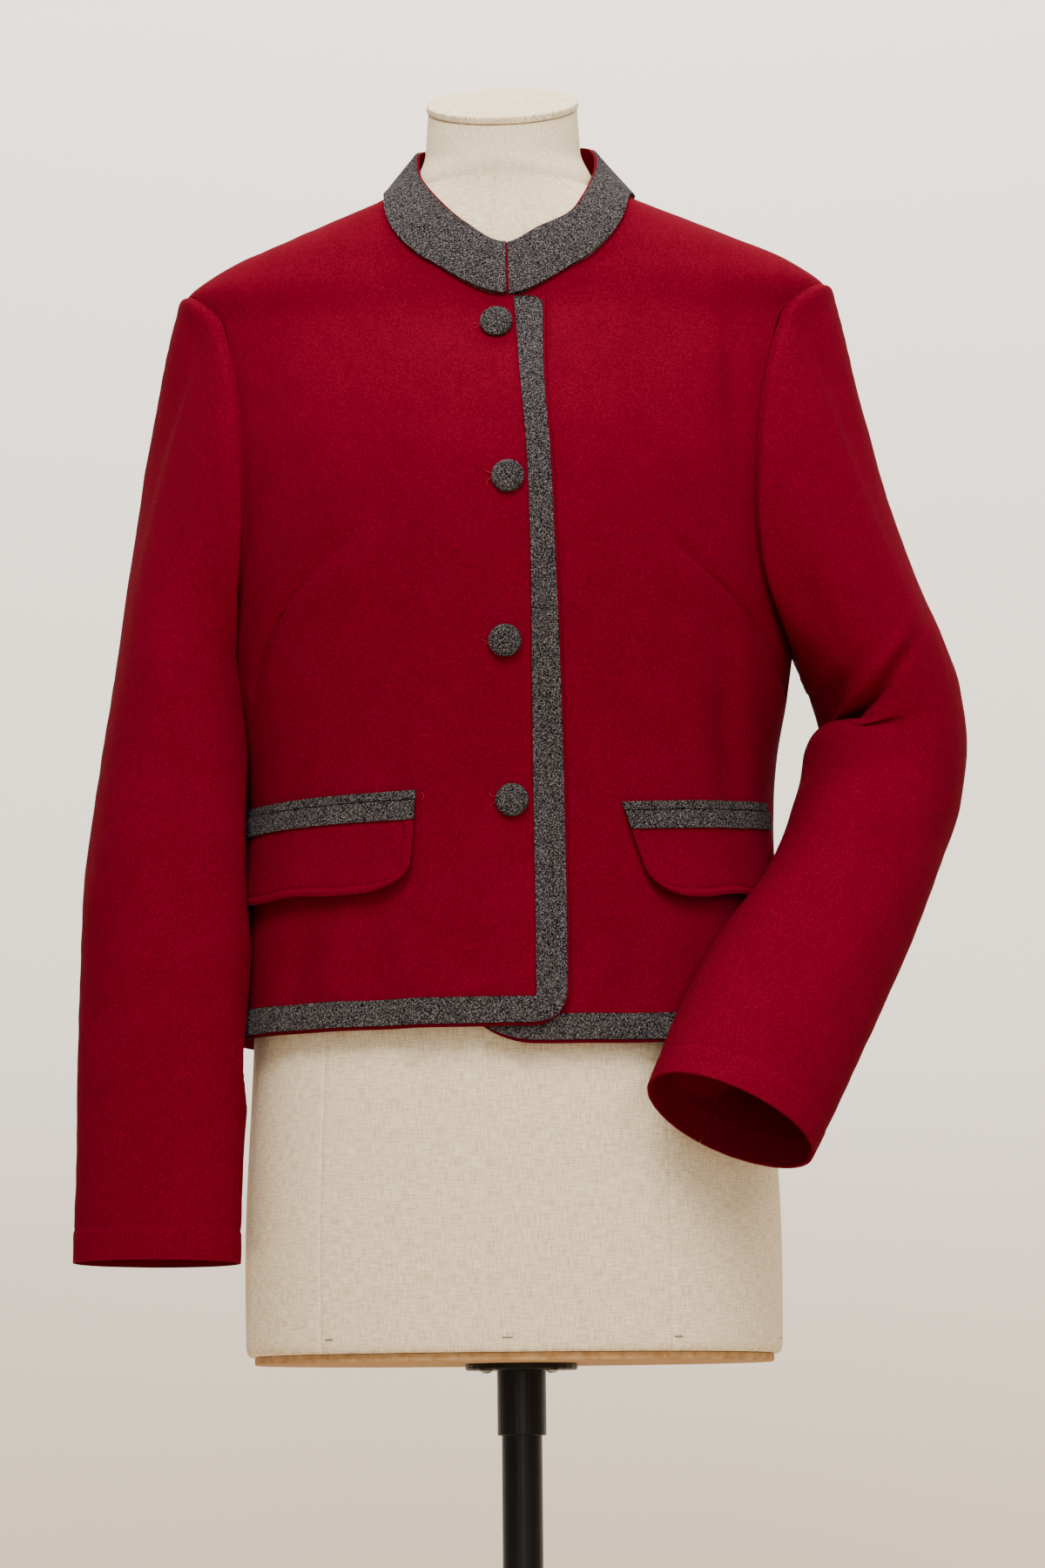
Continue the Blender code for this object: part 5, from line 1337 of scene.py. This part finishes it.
cuts = {
    "right_front": (0.297, 0.580, 0.131, "draped", ["left_front", "form_body"]),
    "left_front": (0.286, 0.580, 0.127, "draped", ["form_body"]),
    "back": (0.521, 0.580, 0.249, "draped", ["form_body"]),
    "right_upper_sleeve": (0.300, 0.650, 0.143, "hung", ["right_front", "back"]),
    "right_under_sleeve": (0.120, 0.521, 0.040, "hung", ["right_front", "back"]),
    "left_upper_sleeve": (0.300, 0.654, 0.138, "hung", ["left_front", "back"]),
    "left_under_sleeve": (0.120, 0.527, 0.037, "hung", ["left_front", "back"]),
    "collar_facing": (0.042, 0.500, 0.0184, "stretched", ["right_front", "left_front", "back"]),
    "collar": (0.041, 0.510, 0.0184, "stretched", ["collar_facing"]),
    "right_trim": (0.021, 0.756, 0.0130, "laid", ["right_front"]),
    "left_trim": (0.019, 0.319, 0.0051, "laid", ["left_front"]),
    "back_trim": (0.0165, 0.486, 0.0078, "laid", ["back"]),
    "right_welt": (0.010, 0.151, 0.0015, "folded", ["right_front"]),
    "left_welt": (0.010, 0.120, 0.0012, "folded", ["left_front"]),
    "right_flap": (0.059, 0.157, 0.0087, "laid", ["right_front"]),
    "left_flap": (0.058, 0.120, 0.0064, "laid", ["left_front"]),
    "right_flap_strip": (0.012, 0.154, 0.0018, "laid", ["right_flap"]),
    "left_flap_strip": (0.012, 0.121, 0.0014, "laid", ["left_flap"]),
}
for node, (width, length, area, held, below) in cuts.items():
    print("cut", node, round(clothArea(pieces[node]), 4), "stated", area)


# stage, light and camera

# the floor colour is the pale paper with painted shade, for the lower sweep that gets less light
stage = {"wall": "#FBF7F2", "floor": "#CFBFAA", "back": 1.15, "sweep": 0.8}


def makeStage():
    # floor that sweeps up into the wall in one curve
    bend = np.linspace(0, math.pi / 2, 16)
    sweep = stage["sweep"]
    start = stage["back"] - sweep
    y = np.concatenate([[-3.5, start], start + sweep * np.sin(bend[1:]), [stage["back"]]])
    z = np.concatenate([[0.0, 0.0], sweep - sweep * np.cos(bend[1:]), [4.0]])
    x = np.array([-4.5, 4.5])
    points = np.stack([np.repeat(x, len(y)), np.tile(y, 2), np.tile(z, 2)], axis=-1)
    index = np.arange(len(points)).reshape(2, -1)
    # matt studio paper of one colour: pale on the wall, warmer and darker towards the floor, which is painted
    # shade where less light reaches the lower sweep
    material, tree, shader = newMaterial("mattStudioPaper", 0.95, 0.1)
    place = addNode(tree, "ShaderNodeTexCoord")
    parts = addNode(tree, "ShaderNodeSeparateXYZ", links={"Vector": place.outputs["Object"]})
    colour = addNode(tree, "ShaderNodeValToRGB", links={"Fac": parts.outputs["Z"]})
    setRamp(colour, [(0.45, stage["floor"]), (0.97, stage["wall"])])
    tree.links.new(colour.outputs["Color"], shader.inputs["Base Color"])
    # seen from behind the wall, the paper doesn't hide the jacket
    side = addNode(tree, "ShaderNodeNewGeometry")
    clear = addNode(tree, "ShaderNodeBsdfTransparent")
    mixed = addNode(tree, "ShaderNodeMixShader", links={0: side.outputs["Backfacing"]})
    tree.links.new(shader.outputs["BSDF"], mixed.inputs[1])
    tree.links.new(clear.outputs["BSDF"], mixed.inputs[2])
    tree.links.new(mixed.outputs["Shader"], tree.nodes["Material Output"].inputs["Surface"])
    sweep = meshFrom("studioSweep", points, gridFaces(index, False), material)


def addLight(name, place, aim, size, power, colour):
    data = bpy.data.lights.new(name, "AREA")
    data.shape = "RECTANGLE"
    data.size, data.size_y = size
    data.energy = power
    data.color = toLinear(colour)[:3]
    lamp = bpy.data.objects.new(name, data)
    lamp.location = place
    lamp.rotation_euler = (Vector(aim) - Vector(place)).to_track_quat("-Z", "Y").to_euler()
    bpy.context.scene.collection.objects.link(lamp)


view = {"distance": 3.60, "height": 0.605, "lens": 6430 / 1800 * 36, "yaw": 3.5, "tilt": 7.0, "roll": -0.5,
        "across": 0.0084}


def makeCamera():
    yaw, tilt, roll = (math.radians(view[k]) for k in ("yaw", "tilt", "roll"))
    right = Vector((math.cos(yaw), math.sin(yaw), 0))
    level = Vector((-math.sin(yaw), math.cos(yaw), 0))
    ahead = level * math.cos(tilt) + Vector((0, 0, math.sin(tilt)))
    up = -level * math.sin(tilt) + Vector((0, 0, math.cos(tilt)))
    rolledRight = right * math.cos(roll) + up * math.sin(roll)
    rolledUp = -right * math.sin(roll) + up * math.cos(roll)
    data = bpy.data.cameras.new("photoCamera")
    data.lens = view["lens"]
    data.sensor_width = 36
    data.clip_end = 40
    camera = bpy.data.objects.new("photoCamera", data)
    place = -level * view["distance"] + right * view["across"] + Vector((0, 0, view["height"]))
    turn = Matrix((rolledRight, rolledUp, -ahead)).transposed().to_4x4()
    camera.matrix_world = Matrix.Translation(place) @ turn
    bpy.context.scene.collection.objects.link(camera)
    bpy.context.scene.camera = camera


makeStage()
addLight("keyLight", (-0.2, -2.5, 3.7), (0, 0, 1.15), (1.7, 1.5), 162, "#FFF8EE")
addLight("fillLight", (1.7, -2.9, 2.6), (0, 0, 1.2), (1.6, 1.6), 58, "#FFF8F0")
addLight("frontLight", (0.3, -3.7, 1.2), (0, 0, 1.0), (2.4, 1.6), 24, "#FFF9F2")
addLight("wallLight", (0.0, 0.1, 3.3), (0, 1.15, 1.7), (3.0, 0.6), 100, "#FFF8F1")
world = bpy.data.worlds.new("studioRoom")
world.use_nodes = True
world.node_tree.nodes["Background"].inputs["Color"].default_value = toLinear("#F2EEE8")
world.node_tree.nodes["Background"].inputs["Strength"].default_value = 0.32
bpy.context.scene.world = world
makeCamera()
print("stage, light and camera made")
